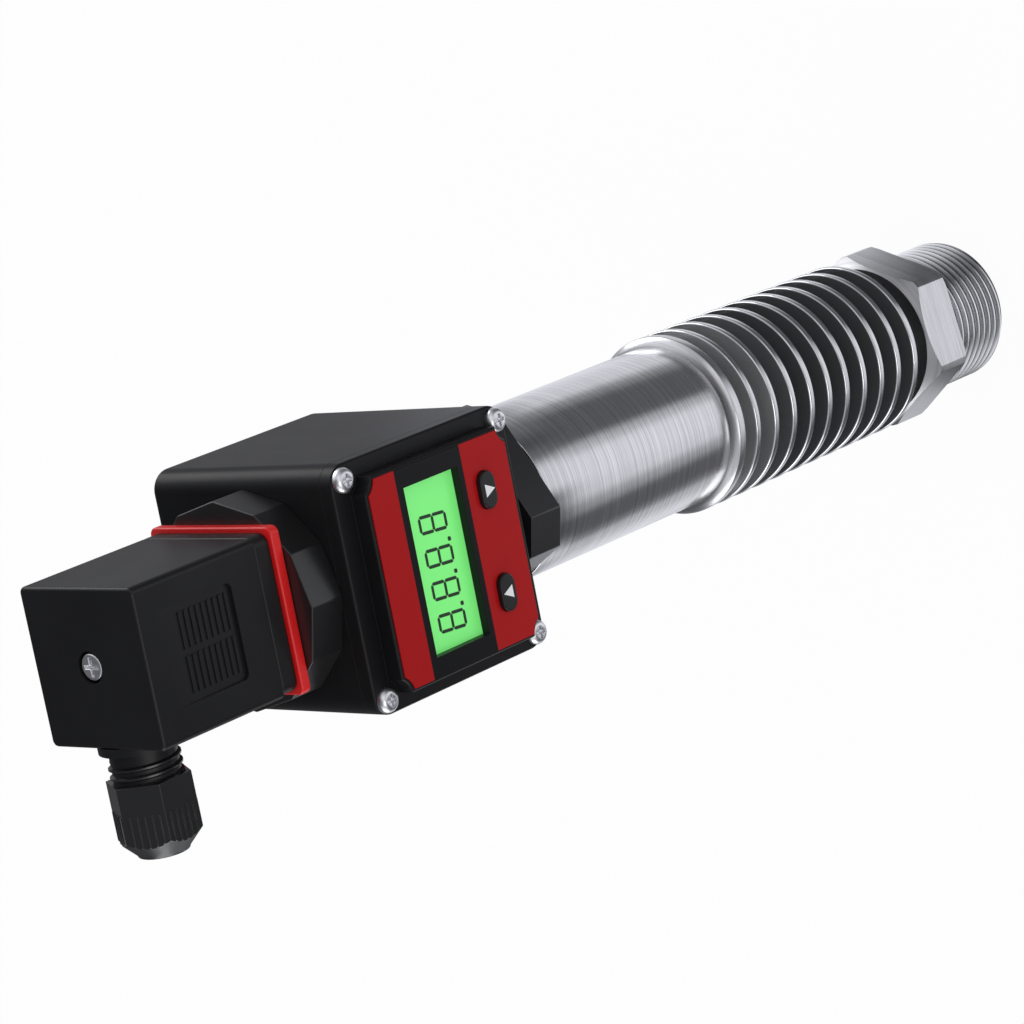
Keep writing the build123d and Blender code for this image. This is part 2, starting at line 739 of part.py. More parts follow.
hood_side = -hood_size / 2 - hood_cable_side
gland_face = hood_side - gland_boss_length
thread_end = gland_face - gland_thread_length
with BuildPart() as plug_hood:
    with BuildSketch(Plane.XY.offset(hood_bottom)):
        with Locations((-hood_cable_side / 2, 0)):
            Rectangle(hood_size + hood_cable_side, hood_size)
    extrude(amount=hood_height)
    fillet(plug_hood.edges().filter_by(Axis.Z), radius=hood_corner)
    fillet(plug_hood.faces().sort_by(Axis.Z)[-1].edges(), radius=hood_top_edge)
    add(panel_cut.part, mode=Mode.SUBTRACT)
    add(panel_ribs.part)
    # gland boss and thread
    with BuildSketch(Plane.YZ.offset(hood_side)):
        with Locations((0, gland_height)):
            Circle(gland_boss_diameter / 2)
    extrude(amount=-gland_boss_length)
    with BuildSketch(Plane.YZ.offset(gland_face)):
        with Locations((0, gland_height)):
            Circle(gland_thread_diameter / 2)
    extrude(amount=-gland_thread_length)
    # inside, with a column left for the screw
    with BuildSketch(Plane.XY.offset(hood_bottom)):
        RectangleRounded(hood_size - 2 * hood_wall, hood_size - 2 * hood_wall, hood_corner)
        Circle(column_diameter / 2, mode=Mode.SUBTRACT)
    extrude(amount=hood_height - hood_wall, mode=Mode.SUBTRACT)
    with BuildSketch(Plane.XY.offset(hood_bottom)):
        Circle(column_diameter / 2 + fit_gap)
    extrude(amount=insert_body_height, mode=Mode.SUBTRACT)
    with BuildSketch(Plane.XY.offset(hood_top)):
        Circle(centre_screw_shank / 2 + hole_gap)
    extrude(amount=-hood_height, mode=Mode.SUBTRACT)
    with BuildSketch(Plane.XY.offset(hood_top)):
        Circle(head_recess_diameter / 2)
    extrude(amount=-head_recess, mode=Mode.SUBTRACT)
    # cable way through the side wall, widened at the end for the grommet
    with BuildSketch(Plane.YZ.offset(-hood_size / 2 + hood_wall)):
        with Locations((0, gland_height)):
            Circle(cable_bore / 2)
    extrude(amount=-hood_wall - hood_cable_side - gland_boss_length - gland_thread_length, mode=Mode.SUBTRACT)
    with BuildSketch(Plane.YZ.offset(thread_end)):
        with Locations((0, gland_height)):
            Circle(grommet_diameter / 2 + fit_gap)
    extrude(amount=grommet_length, mode=Mode.SUBTRACT)
save(plug_hood.part, "plug_hood")

# Centre screw, with a flat cross-slotted head, and its sealing washer
washer_top = hood_top - head_recess + washer_thickness
head_top = washer_top + centre_screw_head_height
with BuildPart() as centre_screw:
    with BuildSketch(Plane.XY.offset(washer_top)):
        Circle(centre_screw_head / 2)
    extrude(amount=centre_screw_head_height)
    fillet(centre_screw.faces().sort_by(Axis.Z)[-1].edges(), radius=0.4)
    with BuildSketch(Plane.XY.offset(washer_top)):
        Circle(centre_screw_shank / 2 - fit_gap / 2)
    extrude(amount=-(washer_top - blade_foot + base_hole_depth - 1.0))
    with BuildSketch(Plane.XY.offset(head_top)):
        Rectangle(slot_length, slot_width)
        Rectangle(slot_width, slot_length)
    extrude(amount=-slot_depth, mode=Mode.SUBTRACT)
save(centre_screw.part, "centre_screw")

with BuildPart() as screw_washer:
    with BuildSketch(Plane.XY.offset(hood_top - head_recess)):
        Circle(centre_screw_head / 2)
        Circle(centre_screw_shank / 2 + fit_gap, mode=Mode.SUBTRACT)
    extrude(amount=washer_thickness)
save(screw_washer.part, "screw_washer")

# Grommet in the end of the gland thread, with a rim that the nut presses on
with BuildPart() as gland_grommet:
    with BuildSketch(Plane.YZ.offset(thread_end)):
        with Locations((0, gland_height)):
            Circle(grommet_diameter / 2)
    extrude(amount=grommet_length)
    with BuildSketch(Plane.YZ.offset(thread_end)):
        with Locations((0, gland_height)):
            Circle(gland_thread_diameter / 2 - 0.4)
    extrude(amount=-grommet_rim)
    with BuildSketch(Plane.YZ.offset(thread_end - grommet_rim)):
        with Locations((0, gland_height)):
            Circle(grommet_bore / 2)
    extrude(amount=grommet_length + grommet_rim, mode=Mode.SUBTRACT)
save(gland_grommet.part, "gland_grommet")

# Thin slip washer between the grommet and the nut
with BuildPart() as gland_washer:
    with BuildSketch(Plane.YZ.offset(thread_end - grommet_rim)):
        with Locations((0, gland_height)):
            Circle(gland_thread_diameter / 2 - 0.4)
            Circle(gland_mouth_diameter / 2, mode=Mode.SUBTRACT)
    extrude(amount=-gland_washer_thickness)
save(gland_washer.part, "gland_washer")

# Gland nut: a hexagon with fine grip ribs, turned down to a dome round the cable mouth
nut_start = gland_face - gland_neck_gap
nut_shoulder = nut_start - gland_nut_length
nut_end = nut_shoulder - gland_dome_length
nut_corner = gland_nut_flats / 2 / cos(radians(30))
nut_side = Plane(origin=(0, 0, gland_height), x_dir=(1, 0, 0), z_dir=(0, -1, 0))
gland_axis = Axis((0, 0, gland_height), (1, 0, 0))
with BuildPart() as gland_nut:
    with BuildSketch(Plane.YZ.offset(nut_start)):
        with Locations((0, gland_height)):
            RegularPolygon(gland_nut_flats / 2, 6, major_radius=False, rotation=30)
    extrude(amount=nut_end - nut_start)
    # five ribs on each flat, near the dome
    for flat in range(6):
        flat_plane = Plane(gland_axis.position, x_dir=(1, 0, 0), z_dir=(0, 1, 0)).rotated((60 * flat, 0, 0))
        with BuildSketch(flat_plane.offset(gland_nut_flats / 2)):
            for rib in range(grip_count):
                offset = (rib - (grip_count - 1) / 2) * grip_pitch
                with Locations((nut_shoulder + grip_length / 2 - grip_overrun, offset)):
                    Rectangle(grip_length + 2 * grip_overrun, grip_width)
        extrude(amount=grip_height)
    with BuildSketch(nut_side):
        with BuildLine():
            mouth = gland_mouth_diameter / 2 + mouth_lip
            Polyline((nut_start, 0), (nut_start, nut_corner + grip_height), (nut_shoulder, nut_corner + grip_height),
                     (nut_end + cone_round, mouth + cone_round / 2), (nut_end, mouth), (nut_end, 0), close=True)
        make_face()
    revolve(axis=gland_axis, mode=Mode.INTERSECT)
    with BuildSketch(Plane.YZ.offset(nut_start)):
        with Locations((0, gland_height)):
            Circle(gland_thread_diameter / 2 + fit_gap)
    extrude(amount=thread_end - grommet_rim - gland_washer_thickness - nut_start, mode=Mode.SUBTRACT)
    with BuildSketch(Plane.YZ.offset(nut_start)):
        with Locations((0, gland_height)):
            Circle(gland_mouth_diameter / 2)
    extrude(amount=nut_end - nut_start, mode=Mode.SUBTRACT)
save(gland_nut.part, "gland_nut")
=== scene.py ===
# %% [markdown]
# A pressure sensor, dressed for its picture
#
# The sensor screws into a pipe or a tank with its threaded end. Above the thread come a hexagon for
# the spanner, ten cooling fins, a steel tube, a display head between two black collars, and a square
# cable plug with a gland on its side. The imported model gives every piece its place. This file makes
# the pieces that show with rounder edges and finer detail, and gives each one its finish.

# %% Load the frame
from math import cos, pi, radians, tan, tau

import bmesh
import bpy
from mathutils import Matrix, Vector


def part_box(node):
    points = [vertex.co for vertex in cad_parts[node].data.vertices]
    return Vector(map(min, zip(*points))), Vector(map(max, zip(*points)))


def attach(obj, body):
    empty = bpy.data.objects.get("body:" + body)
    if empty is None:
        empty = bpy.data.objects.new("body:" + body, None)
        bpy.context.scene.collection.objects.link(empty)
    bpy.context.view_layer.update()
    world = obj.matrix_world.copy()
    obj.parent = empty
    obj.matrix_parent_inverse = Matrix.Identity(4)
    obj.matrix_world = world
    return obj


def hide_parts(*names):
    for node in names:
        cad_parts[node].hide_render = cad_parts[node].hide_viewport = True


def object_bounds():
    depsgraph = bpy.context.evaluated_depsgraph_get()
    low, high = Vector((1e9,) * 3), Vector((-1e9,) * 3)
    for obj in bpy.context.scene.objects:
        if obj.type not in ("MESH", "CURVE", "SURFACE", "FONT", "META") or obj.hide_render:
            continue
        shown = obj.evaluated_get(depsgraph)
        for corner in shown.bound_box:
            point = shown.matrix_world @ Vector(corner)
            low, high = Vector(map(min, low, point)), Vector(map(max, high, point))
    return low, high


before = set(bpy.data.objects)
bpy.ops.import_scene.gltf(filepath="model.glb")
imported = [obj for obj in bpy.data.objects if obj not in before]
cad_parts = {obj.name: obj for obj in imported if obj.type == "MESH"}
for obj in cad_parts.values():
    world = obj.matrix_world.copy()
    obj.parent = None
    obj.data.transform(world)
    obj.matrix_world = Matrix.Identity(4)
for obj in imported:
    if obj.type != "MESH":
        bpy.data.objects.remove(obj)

cad_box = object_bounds()
print("CAD box in mm:", [[round(value * 1000, 1) for value in corner] for corner in cad_box])

# %% [markdown]
# The camera
#
# The photograph looks down on the sensor from its cable end, so the thread runs away to the upper
# right. The camera's place and turn come from fitting the straight edges and the round rims of the
# real object, and a long lens keeps the far end nearly as large as the near end.

# %% Camera
camera_data = bpy.data.cameras.new("photo_camera")
camera_data.lens = 143.06
camera_data.sensor_width = 36.0
camera = bpy.data.objects.new("photo_camera", camera_data)
camera.location = (0.15007, -0.51884, 0.68216)
camera.rotation_euler = (radians(-20.896), radians(40.006), radians(-104.184))
bpy.context.scene.collection.objects.link(camera)
bpy.context.scene.camera = camera
print("camera", round(camera.location.length, 3), "m from the origin")

# %% [markdown]
# Light and floor
#
# A product picture like this one is lit by large soft boxes, so plastics get broad, gentle
# highlights and steel gets long bands. The floor and the world look white to the camera and in
# reflections, while the light that falls on the object stays at a plain level.


# %% World and floor
def link(tree, out_node, out_name, in_node, in_name):
    tree.links.new(out_node.outputs[out_name], in_node.inputs[in_name])


def seen_directly(tree):
    """A value of 1 for camera, mirror and glass rays, and 0 for the light that falls on things."""
    path = tree.nodes.new("ShaderNodeLightPath")
    first = tree.nodes.new("ShaderNodeMath")
    first.operation = "MAXIMUM"
    link(tree, path, "Is Camera Ray", first, 0)
    link(tree, path, "Is Glossy Ray", first, 1)
    second = tree.nodes.new("ShaderNodeMath")
    second.operation = "MAXIMUM"
    link(tree, first, 0, second, 0)
    link(tree, path, "Is Transmission Ray", second, 1)
    return second


world = bpy.data.worlds.new("studio")
bpy.context.scene.world = world
world.use_nodes = True
world_tree = world.node_tree
world_tree.nodes.clear()
world_out = world_tree.nodes.new("ShaderNodeOutputWorld")
world_mix = world_tree.nodes.new("ShaderNodeMixShader")
ambient = world_tree.nodes.new("ShaderNodeBackground")
ambient.inputs["Color"].default_value = (0.93, 0.96, 1.0, 1)
ambient.inputs["Strength"].default_value = 0.6
white = world_tree.nodes.new("ShaderNodeBackground")
white.inputs["Color"].default_value = (1, 1, 1, 1)
white.inputs["Strength"].default_value = 1.0
link(world_tree, seen_directly(world_tree), 0, world_mix, 0)
link(world_tree, ambient, 0, world_mix, 1)
link(world_tree, white, 0, world_mix, 2)
link(world_tree, world_mix, 0, world_out, 0)

floor_material = bpy.data.materials.new("floor_white")
floor_material.use_nodes = True
floor_tree = floor_material.node_tree
floor_tree.nodes.clear()
floor_out = floor_tree.nodes.new("ShaderNodeOutputMaterial")
floor_mix = floor_tree.nodes.new("ShaderNodeMixShader")
floor_share = floor_tree.nodes.new("ShaderNodeMath")
floor_share.operation = "MULTIPLY"
floor_share.inputs[1].default_value = 0.955  # the rest is paint, which carries the object's shadow
link(floor_tree, seen_directly(floor_tree), 0, floor_share, 0)
link(floor_tree, floor_share, 0, floor_mix, 0)
floor_paint = floor_tree.nodes.new("ShaderNodeBsdfDiffuse")
floor_paint.inputs["Color"].default_value = (0.9, 0.9, 0.9, 1)
floor_glow = floor_tree.nodes.new("ShaderNodeEmission")
floor_glow.inputs["Strength"].default_value = 1.0
link(floor_tree, floor_paint, 0, floor_mix, 1)
link(floor_tree, floor_glow, 0, floor_mix, 2)
link(floor_tree, floor_mix, 0, floor_out, 0)

floor_gap = 0.0004
floor_reach = 4.0
floor_bm = bmesh.new()
bmesh.ops.create_grid(floor_bm, x_segments=1, y_segments=1, size=floor_reach)
bmesh.ops.translate(floor_bm, vec=(0, 0, cad_box[0][2] - floor_gap), verts=floor_bm.verts)
floor_mesh = bpy.data.meshes.new("floor")
floor_bm.to_mesh(floor_mesh)
floor_bm.free()
floor_mesh.materials.append(floor_material)
floor = bpy.data.objects.new("floor", floor_mesh)
bpy.context.scene.collection.objects.link(floor)
print("floor at", round(floor_mesh.vertices[0].co.z * 1000, 2), "mm")


# %% Lamps
def soft_box(name, place, aim, size, watts):
    """A rectangular area lamp that points from its place to its aim."""
    lamp_data = bpy.data.lights.new(name, "AREA")
    lamp_data.shape = "RECTANGLE"
    lamp_data.size, lamp_data.size_y = size
    lamp_data.energy = watts
    lamp = bpy.data.objects.new(name, lamp_data)
    lamp.location = place
    lamp.rotation_euler = (Vector(aim) - Vector(place)).to_track_quat("-Z", "Y").to_euler()
    bpy.context.scene.collection.objects.link(lamp)
    return lamp


middle = (0, 0, 0.11)
lamps = [
    soft_box("key_box", (0.75, -0.9, 1.1), middle, (1.2, 1.2), 2.0),
    soft_box("front_box", (-0.35, -1.2, 0.75), middle, (0.6, 0.8), 2.5),
    soft_box("edge_box", (0.85, 0.8, 0.22), middle, (0.8, 0.7), 4.6),
    soft_box("side_box", (-1.15, -0.1, 0.3), middle, (0.8, 0.8), 3.6),
]
print("lamps", [(lamp.name, lamp.data.energy) for lamp in lamps])

# %% [markdown]
# Black cards for the reflections
#
# Bare metal shows its surroundings more than its own colour, and in an all white studio a steel tube
# looks like white plastic. A photographer therefore stands black cards round it, out of the picture,
# with gaps where the white still shows. The cards draw the dark bands along the tube, and those
# under the display head keep its black plastic black. Here they are one turned shell that only
# reflections see. It is clear in the gaps and black on the cards. The rings of cards follow the
# direction round the axis: on the floor near the foot, further out, on the wall, and overhead.

# %% Shell for the cards
card_radius = 2.4
wall_height = 1.2
shoulder_height = 2.2
shell_top = 2.5
card_bm = bmesh.new()
card_low = cad_box[0][2] - floor_gap / 2
card_profile = [(0, card_low), (card_radius, card_low), (card_radius, wall_height),
                (card_radius * 0.6, shoulder_height), (0, shell_top)]
card_verts = [card_bm.verts.new((radius, 0, height)) for radius, height in card_profile]
card_edges = [card_bm.edges.new(pair) for pair in zip(card_verts, card_verts[1:])]
bmesh.ops.spin(card_bm, geom=card_verts + card_edges, cent=(0, 0, 0), axis=(0, 0, 1), angle=tau, steps=48,
               use_merge=True)
bmesh.ops.remove_doubles(card_bm, verts=card_bm.verts, dist=0.0001)
card_mesh = bpy.data.meshes.new("cards")
card_bm.to_mesh(card_mesh)
card_bm.free()
cards = bpy.data.objects.new("cards", card_mesh)
bpy.context.scene.collection.objects.link(cards)
for ray in ("camera", "diffuse", "transmission", "volume_scatter", "shadow"):
    setattr(cards, "visible_" + ray, False)
print("cards stand", card_radius, "m from the axis")

# %% Where the cards are
# the share of the white that shows, by direction round the axis in degrees from +X
near_floor = [(-180, 0.62), (-170, 0.25), (-160, 0.14), (-140, 0.14), (-126, 0.45), (-110, 0.9), (-90, 1.0),
              (-70, 1.0), (-56, 0.6), (-44, 0.14), (-5, 0.14), (8, 0.32), (26, 0.85), (108, 1.0), (150, 0.9),
              (180, 0.62)]
far_floor = [(-180, 0.9), (-150, 0.1), (-103, 0.1), (-86, 0.9), (-64, 0.9), (-48, 0.2), (-30, 0.1), (-5, 0.2),
             (20, 0.36), (48, 0.34), (62, 0.45), (76, 0.4), (95, 0.2), (120, 0.1), (160, 0.3), (180, 0.9)]
wall = [(-180, 1.0), (-155, 0.6), (-20, 0.45), (30, 0.9), (52, 1.0), (80, 0.12), (150, 0.12), (180, 1.0)]
card_tint = (0.93, 0.94, 1.0)
# where one ring gives way to the next, in metres: two distances and four heights
near_to_far = (0.185, 0.22)
floor_to_wall = (0.0, 0.25)
wall_to_overhead = (2.05, 2.35)
ring_shift = (0, 0.03, 0)  # the near ring is centred 30 mm in front of the axis
overhead = [(-180, 0.15), (180, 0.15)]


def by_direction(tree, turn, panels):
    """A smooth ramp through the levels of one ring of cards."""
    ramp = tree.nodes.new("ShaderNodeValToRGB")
    elements = ramp.color_ramp.elements
    ramp.color_ramp.interpolation = "EASE"
    elements.remove(elements[1])
    for index, (angle, level) in enumerate(panels):
        place = (angle + 180) / 360
        element = elements[0] if index == 0 else elements.new(place)
        element.position = place
        element.color = (*(level * share for share in card_tint), 1)
    tree.links.new(turn, ramp.inputs[0])
    return ramp.outputs["Color"]


def from_to(tree, value, low, high):
    """0 below the low value, 1 above the high one, and smooth between."""
    step = tree.nodes.new("ShaderNodeMapRange")
    step.interpolation_type = "SMOOTHSTEP"
    step.inputs["From Min"].default_value = low
    step.inputs["From Max"].default_value = high
    tree.links.new(value, step.inputs["Value"])
    return step.outputs[0]


def blend(tree, factor, first, second):
    """The first colour at a factor of 0, the second at 1."""
    mix = tree.nodes.new("ShaderNodeMix")
    mix.data_type = "RGBA"
    for value, socket in ((factor, 0), (first, 6), (second, 7)):
        tree.links.new(value, mix.inputs[socket])
    return mix.outputs[2]


card_material = bpy.data.materials.new("black_cards")
card_material.use_nodes = True
card_tree = card_material.node_tree
card_tree.nodes.clear()
card_place = card_tree.nodes.new("ShaderNodeTexCoord")
card_split = card_tree.nodes.new("ShaderNodeSeparateXYZ")
link(card_tree, card_place, "Object", card_split, 0)
card_angle = card_tree.nodes.new("ShaderNodeMath")
card_angle.operation = "ARCTAN2"
link(card_tree, card_split, "Y", card_angle, 0)
link(card_tree, card_split, "X", card_angle, 1)
card_turn = card_tree.nodes.new("ShaderNodeMapRange")
card_turn.inputs["From Min"].default_value = -pi
card_turn.inputs["From Max"].default_value = pi
link(card_tree, card_angle, 0, card_turn, "Value")
card_reach = card_tree.nodes.new("ShaderNodeVectorMath")
card_reach.operation = "LENGTH"
card_centre = card_tree.nodes.new("ShaderNodeVectorMath")
card_centre.operation = "ADD"
card_centre.inputs[1].default_value = ring_shift
link(card_tree, card_place, "Object", card_centre, 0)
link(card_tree, card_centre, 0, card_reach, 0)
turn = card_turn.outputs[0]
height = card_split.outputs["Z"]
floor_levels = blend(card_tree, from_to(card_tree, card_reach.outputs["Value"], *near_to_far),
                     by_direction(card_tree, turn, near_floor), by_direction(card_tree, turn, far_floor))
side_levels = blend(card_tree, from_to(card_tree, height, *floor_to_wall),
                    floor_levels, by_direction(card_tree, turn, wall))
all_levels = blend(card_tree, from_to(card_tree, height, *wall_to_overhead),
                   side_levels, by_direction(card_tree, turn, overhead))
card_gap = card_tree.nodes.new("ShaderNodeBsdfTransparent")
card_tree.links.new(all_levels, card_gap.inputs["Color"])
card_out = card_tree.nodes.new("ShaderNodeOutputMaterial")
link(card_tree, card_gap, 0, card_out, 0)
card_mesh.materials.append(card_material)
print("cards in each ring", len(near_floor), len(far_floor), len(wall))

# %% [markdown]
# Helpers for making pieces
#
# Every piece is modelled in millimetres and scaled to metres once, at the end. A finished piece's
# object sits at the origin with its place in its mesh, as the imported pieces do. Curved faces shade
# smoothly, and edges sharper than a set angle stay crisp.

# %% Piece helpers
MM = 0.001
BODY = "sensor"
display_middle = sum(corner[2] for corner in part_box("display_housing")) / 2 / MM


def add_object(name, bm, smooth_angle=32):
    """Scales a bmesh from millimetres and links it to the scene as an object."""
    bmesh.ops.scale(bm, vec=(MM, MM, MM), verts=bm.verts)
    mesh = bpy.data.meshes.new(name)
    bm.to_mesh(mesh)
    bm.free()
    mesh.shade_smooth()
    mesh.set_sharp_from_angle(angle=radians(smooth_angle))
    piece = bpy.data.objects.new(name, mesh)
    bpy.context.scene.collection.objects.link(piece)
    return piece


def round_edges(piece, width, segments=2, angle=32):
    """Rounds every edge sharper than the angle, by a bevel of that width in millimetres."""
    bevel = piece.modifiers.new("edges", "BEVEL")
    bevel.width = width * MM
    bevel.segments = segments
    bevel.limit_method = "ANGLE"
    bevel.angle_limit = radians(angle)
    bevel.use_clamp_overlap = True
    flat = piece.modifiers.new("flat_faces", "WEIGHTED_NORMAL")
    flat.keep_sharp = True
    flat.weight = 100
    return piece


def carry(piece, material, replaced=(), body=BODY):
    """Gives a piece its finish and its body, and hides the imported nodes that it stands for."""
    piece.data.materials.clear()
    piece.data.materials.append(material)
    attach(piece, body)
    if replaced:
        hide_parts(*replaced)
    return piece


def report(piece):
    depsgraph = bpy.context.evaluated_depsgraph_get()
    mesh = piece.evaluated_get(depsgraph).data
    mesh.calc_loop_triangles()
    size = [round(value / MM, 2) for value in piece.dimensions]
    print(piece.name, size, "mm,", len(mesh.loop_triangles), "triangles")


# %% Shape helpers
def profile_chain(bm, points, rounded):
    """Joins (radius, height) points in a closed chain of edges, and rounds the corners that are named."""
    verts = [bm.verts.new((radius, 0, height)) for radius, height in points]
    for start, end in zip(verts, verts[1:]):
        bm.edges.new((start, end))
    bm.edges.new((verts[-1], verts[0]))
    for width, corners in rounded.items():
        chosen = [verts[index] for index in corners]
        bmesh.ops.bevel(bm, geom=chosen, offset=width, offset_type="OFFSET", segments=3,
                        profile=0.5, affect="VERTICES", material=-1, clamp_overlap=True)


def turned(points, steps=144, rounded=None):
    """A lathe: spins a profile of (radius, height) points round the Z axis."""
    bm = bmesh.new()
    profile_chain(bm, points, rounded or {})
    bmesh.ops.spin(bm, geom=bm.verts[:] + bm.edges[:], cent=(0, 0, 0), axis=(0, 0, 1), angle=tau,
                   steps=steps, use_merge=True)
    bmesh.ops.remove_doubles(bm, verts=bm.verts, dist=0.0008)
    bmesh.ops.dissolve_degenerate(bm, dist=0.0004, edges=bm.edges)
    bmesh.ops.recalc_face_normals(bm, faces=bm.faces)
    return bm


def outline(bm, width, height, corner, steps=8):
    """A flat rectangle in the XY plane with its corners rounded."""
    bmesh.ops.create_grid(bm, x_segments=1, y_segments=1, size=0.5)
    bmesh.ops.scale(bm, vec=(width, height, 1), verts=bm.verts)
    if corner:
        bmesh.ops.bevel(bm, geom=bm.verts[:], offset=corner, offset_type="OFFSET", segments=steps,
                        profile=0.5, affect="VERTICES", material=-1, clamp_overlap=False)
        bmesh.ops.remove_doubles(bm, verts=bm.verts, dist=0.0008)
    return bm.faces[:]


def slab(width, height, corner, thickness, steps=8):
    """A rounded rectangle from z 0 down to minus its thickness."""
    bm = bmesh.new()
    faces = outline(bm, width, height, corner, steps)
    grown = bmesh.ops.extrude_face_region(bm, geom=faces)["geom"]
    moved = [item for item in grown if isinstance(item, bmesh.types.BMVert)]
    bmesh.ops.translate(bm, vec=(0, 0, -thickness), verts=moved)
    bmesh.ops.recalc_face_normals(bm, faces=bm.faces)
    return bm


def polygon_bar(sides, across, length, turn=0.0):
    """A bar with flat sides along Z, whose first corner is that many degrees from +X."""
    bm = bmesh.new()
    bmesh.ops.create_circle(bm, cap_ends=True, segments=sides, radius=across / 2 / cos(pi / sides))
    bmesh.ops.rotate(bm, cent=(0, 0, 0), matrix=Matrix.Rotation(radians(turn - 90), 3, "Z"), verts=bm.verts)
    grown = bmesh.ops.extrude_face_region(bm, geom=bm.faces[:])["geom"]
    moved = [item for item in grown if isinstance(item, bmesh.types.BMVert)]
    bmesh.ops.translate(bm, vec=(0, 0, length), verts=moved)
    bmesh.ops.recalc_face_normals(bm, faces=bm.faces)
    return bm


def move(bm, x=0.0, y=0.0, z=0.0):
    bmesh.ops.translate(bm, vec=(x, y, z), verts=bm.verts)
    return bm


def face_reader(bm, depth, x=0.0, z=0.0):
    """Turns a shape whose front is +Z so that it faces -Y, at a depth and a place on the display."""
    bmesh.ops.rotate(bm, cent=(0, 0, 0), matrix=Matrix.Rotation(radians(90), 3, "X"), verts=bm.verts)
    return move(bm, x, depth, display_middle + z)


def along_x(bm, x, z):
    """Turns a shape whose top is +Z so that it points along -X, at that place."""
    bmesh.ops.rotate(bm, cent=(0, 0, 0), matrix=Matrix.Rotation(radians(-90), 3, "Y"), verts=bm.verts)
    return move(bm, x, 0, z)


def join(*parts):
    """Puts several bmeshes into the first one."""
    whole = parts[0]
    for part in parts[1:]:
        holder = bpy.data.meshes.new("holder")
        part.to_mesh(holder)
        part.free()
        whole.from_mesh(holder)
        bpy.data.meshes.remove(holder)
    return whole


def combine(first, second, operation):
    """Cuts, joins or intersects two closed bmeshes, and gives back one bmesh."""
    holders = []
    for bm in (first, second):
        mesh = bpy.data.meshes.new("holder")
        bm.to_mesh(mesh)
        bm.free()
        holder = bpy.data.objects.new("holder", mesh)
        bpy.context.scene.collection.objects.link(holder)
        holders.append(holder)
    boolean = holders[0].modifiers.new("combine", "BOOLEAN")
    boolean.operation = operation
    boolean.solver = "EXACT"
    boolean.object = holders[1]
    bpy.context.view_layer.update()
    depsgraph = bpy.context.evaluated_depsgraph_get()
    result = bmesh.new()
    result.from_mesh(holders[0].evaluated_get(depsgraph).to_mesh())
    for holder in holders:
        mesh = holder.data
        bpy.data.objects.remove(holder)
        bpy.data.meshes.remove(mesh)
    return result


def merged_copy(node):
    """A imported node's mesh in millimetres, with its loose triangles merged into faces."""
    bm = bmesh.new()
    bm.from_mesh(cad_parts[node].data)
    bmesh.ops.scale(bm, vec=(1 / MM, 1 / MM, 1 / MM), verts=bm.verts)
    bmesh.ops.remove_doubles(bm, verts=bm.verts, dist=0.002)
    bmesh.ops.dissolve_limit(bm, angle_limit=radians(0.6), verts=bm.verts, edges=bm.edges)
    return bm


print("display middle at", round(display_middle, 2), "mm")

# %% [markdown]
# Finishes that several pieces share
#
# An effect that more than one material uses is a shader group with its own named inputs. Brush
# lines are a noise that is stretched hard in two directions and tight in the third. On the tube
# they run round the axis, so the noise is tight along Z. A fine grain stands for moulded plastic,
# whose mould is blasted so that it doesn't show fingerprints.


# %% Shader groups
def new_group(name, inputs, outputs):
    group = bpy.data.node_groups.new(name, "ShaderNodeTree")
    for title, kind, value in inputs:
        socket = group.interface.new_socket(title, in_out="INPUT", socket_type=kind)
        socket.default_value = value
    for title, kind in outputs:
        group.interface.new_socket(title, in_out="OUTPUT", socket_type=kind)
    return group, group.nodes.new("NodeGroupInput"), group.nodes.new("NodeGroupOutput")


def math_node(tree, operation, first=None, second=None):
    node = tree.nodes.new("ShaderNodeMath")
    node.operation = operation
    for index, value in enumerate((first, second)):
        if isinstance(value, (int, float)):
            node.inputs[index].default_value = value
        elif value is not None:
            tree.links.new(value, node.inputs[index])
    return node.outputs[0]


def noise_node(tree, vector, scale, detail=2.0, roughness=0.5):
    noise = tree.nodes.new("ShaderNodeTexNoise")
    noise.inputs["Scale"].default_value = scale
    noise.inputs["Detail"].default_value = detail
    noise.inputs["Roughness"].default_value = roughness
    tree.links.new(vector, noise.inputs["Vector"])
    return noise.outputs["Fac"]


FLOAT = "NodeSocketFloat"
VECTOR = "NodeSocketVector"
brush, brush_in, brush_out = new_group(
    "brush_lines",
    [("Stretch", VECTOR, (60.0, 60.0, 9000.0)), ("Roughness", FLOAT, 0.3), ("Spread", FLOAT, 0.2),
     ("Depth", FLOAT, 1.0)],
    [("Roughness", FLOAT), ("Height", FLOAT), ("Tint", FLOAT)])
brush_place = brush.nodes.new("ShaderNodeTexCoord")
brush_scale = brush.nodes.new("ShaderNodeVectorMath")
brush_scale.operation = "MULTIPLY"
link(brush, brush_place, "Object", brush_scale, 0)
link(brush, brush_in, "Stretch", brush_scale, 1)
fine_lines = noise_node(brush, brush_scale.outputs[0], 1.0, 3.0, 0.7)
wide_lines = noise_node(brush, brush_scale.outputs[0], 0.13, 2.0, 0.5)
line_sum = math_node(brush, "ADD", fine_lines, math_node(brush, "MULTIPLY", wide_lines, 0.5))
line_centred = math_node(brush, "SUBTRACT", line_sum, 0.75)
line_spread = math_node(brush, "MULTIPLY", line_centred, brush_in.outputs["Spread"])
link_rough = math_node(brush, "ADD", line_spread, brush_in.outputs["Roughness"])
brush.links.new(link_rough, brush_out.inputs["Roughness"])
brush.links.new(math_node(brush, "MULTIPLY", line_sum, brush_in.outputs["Depth"]), brush_out.inputs["Height"])
brush.links.new(math_node(brush, "ADD", 0.5, math_node(brush, "MULTIPLY", line_centred, 2.2)),
                brush_out.inputs["Tint"])

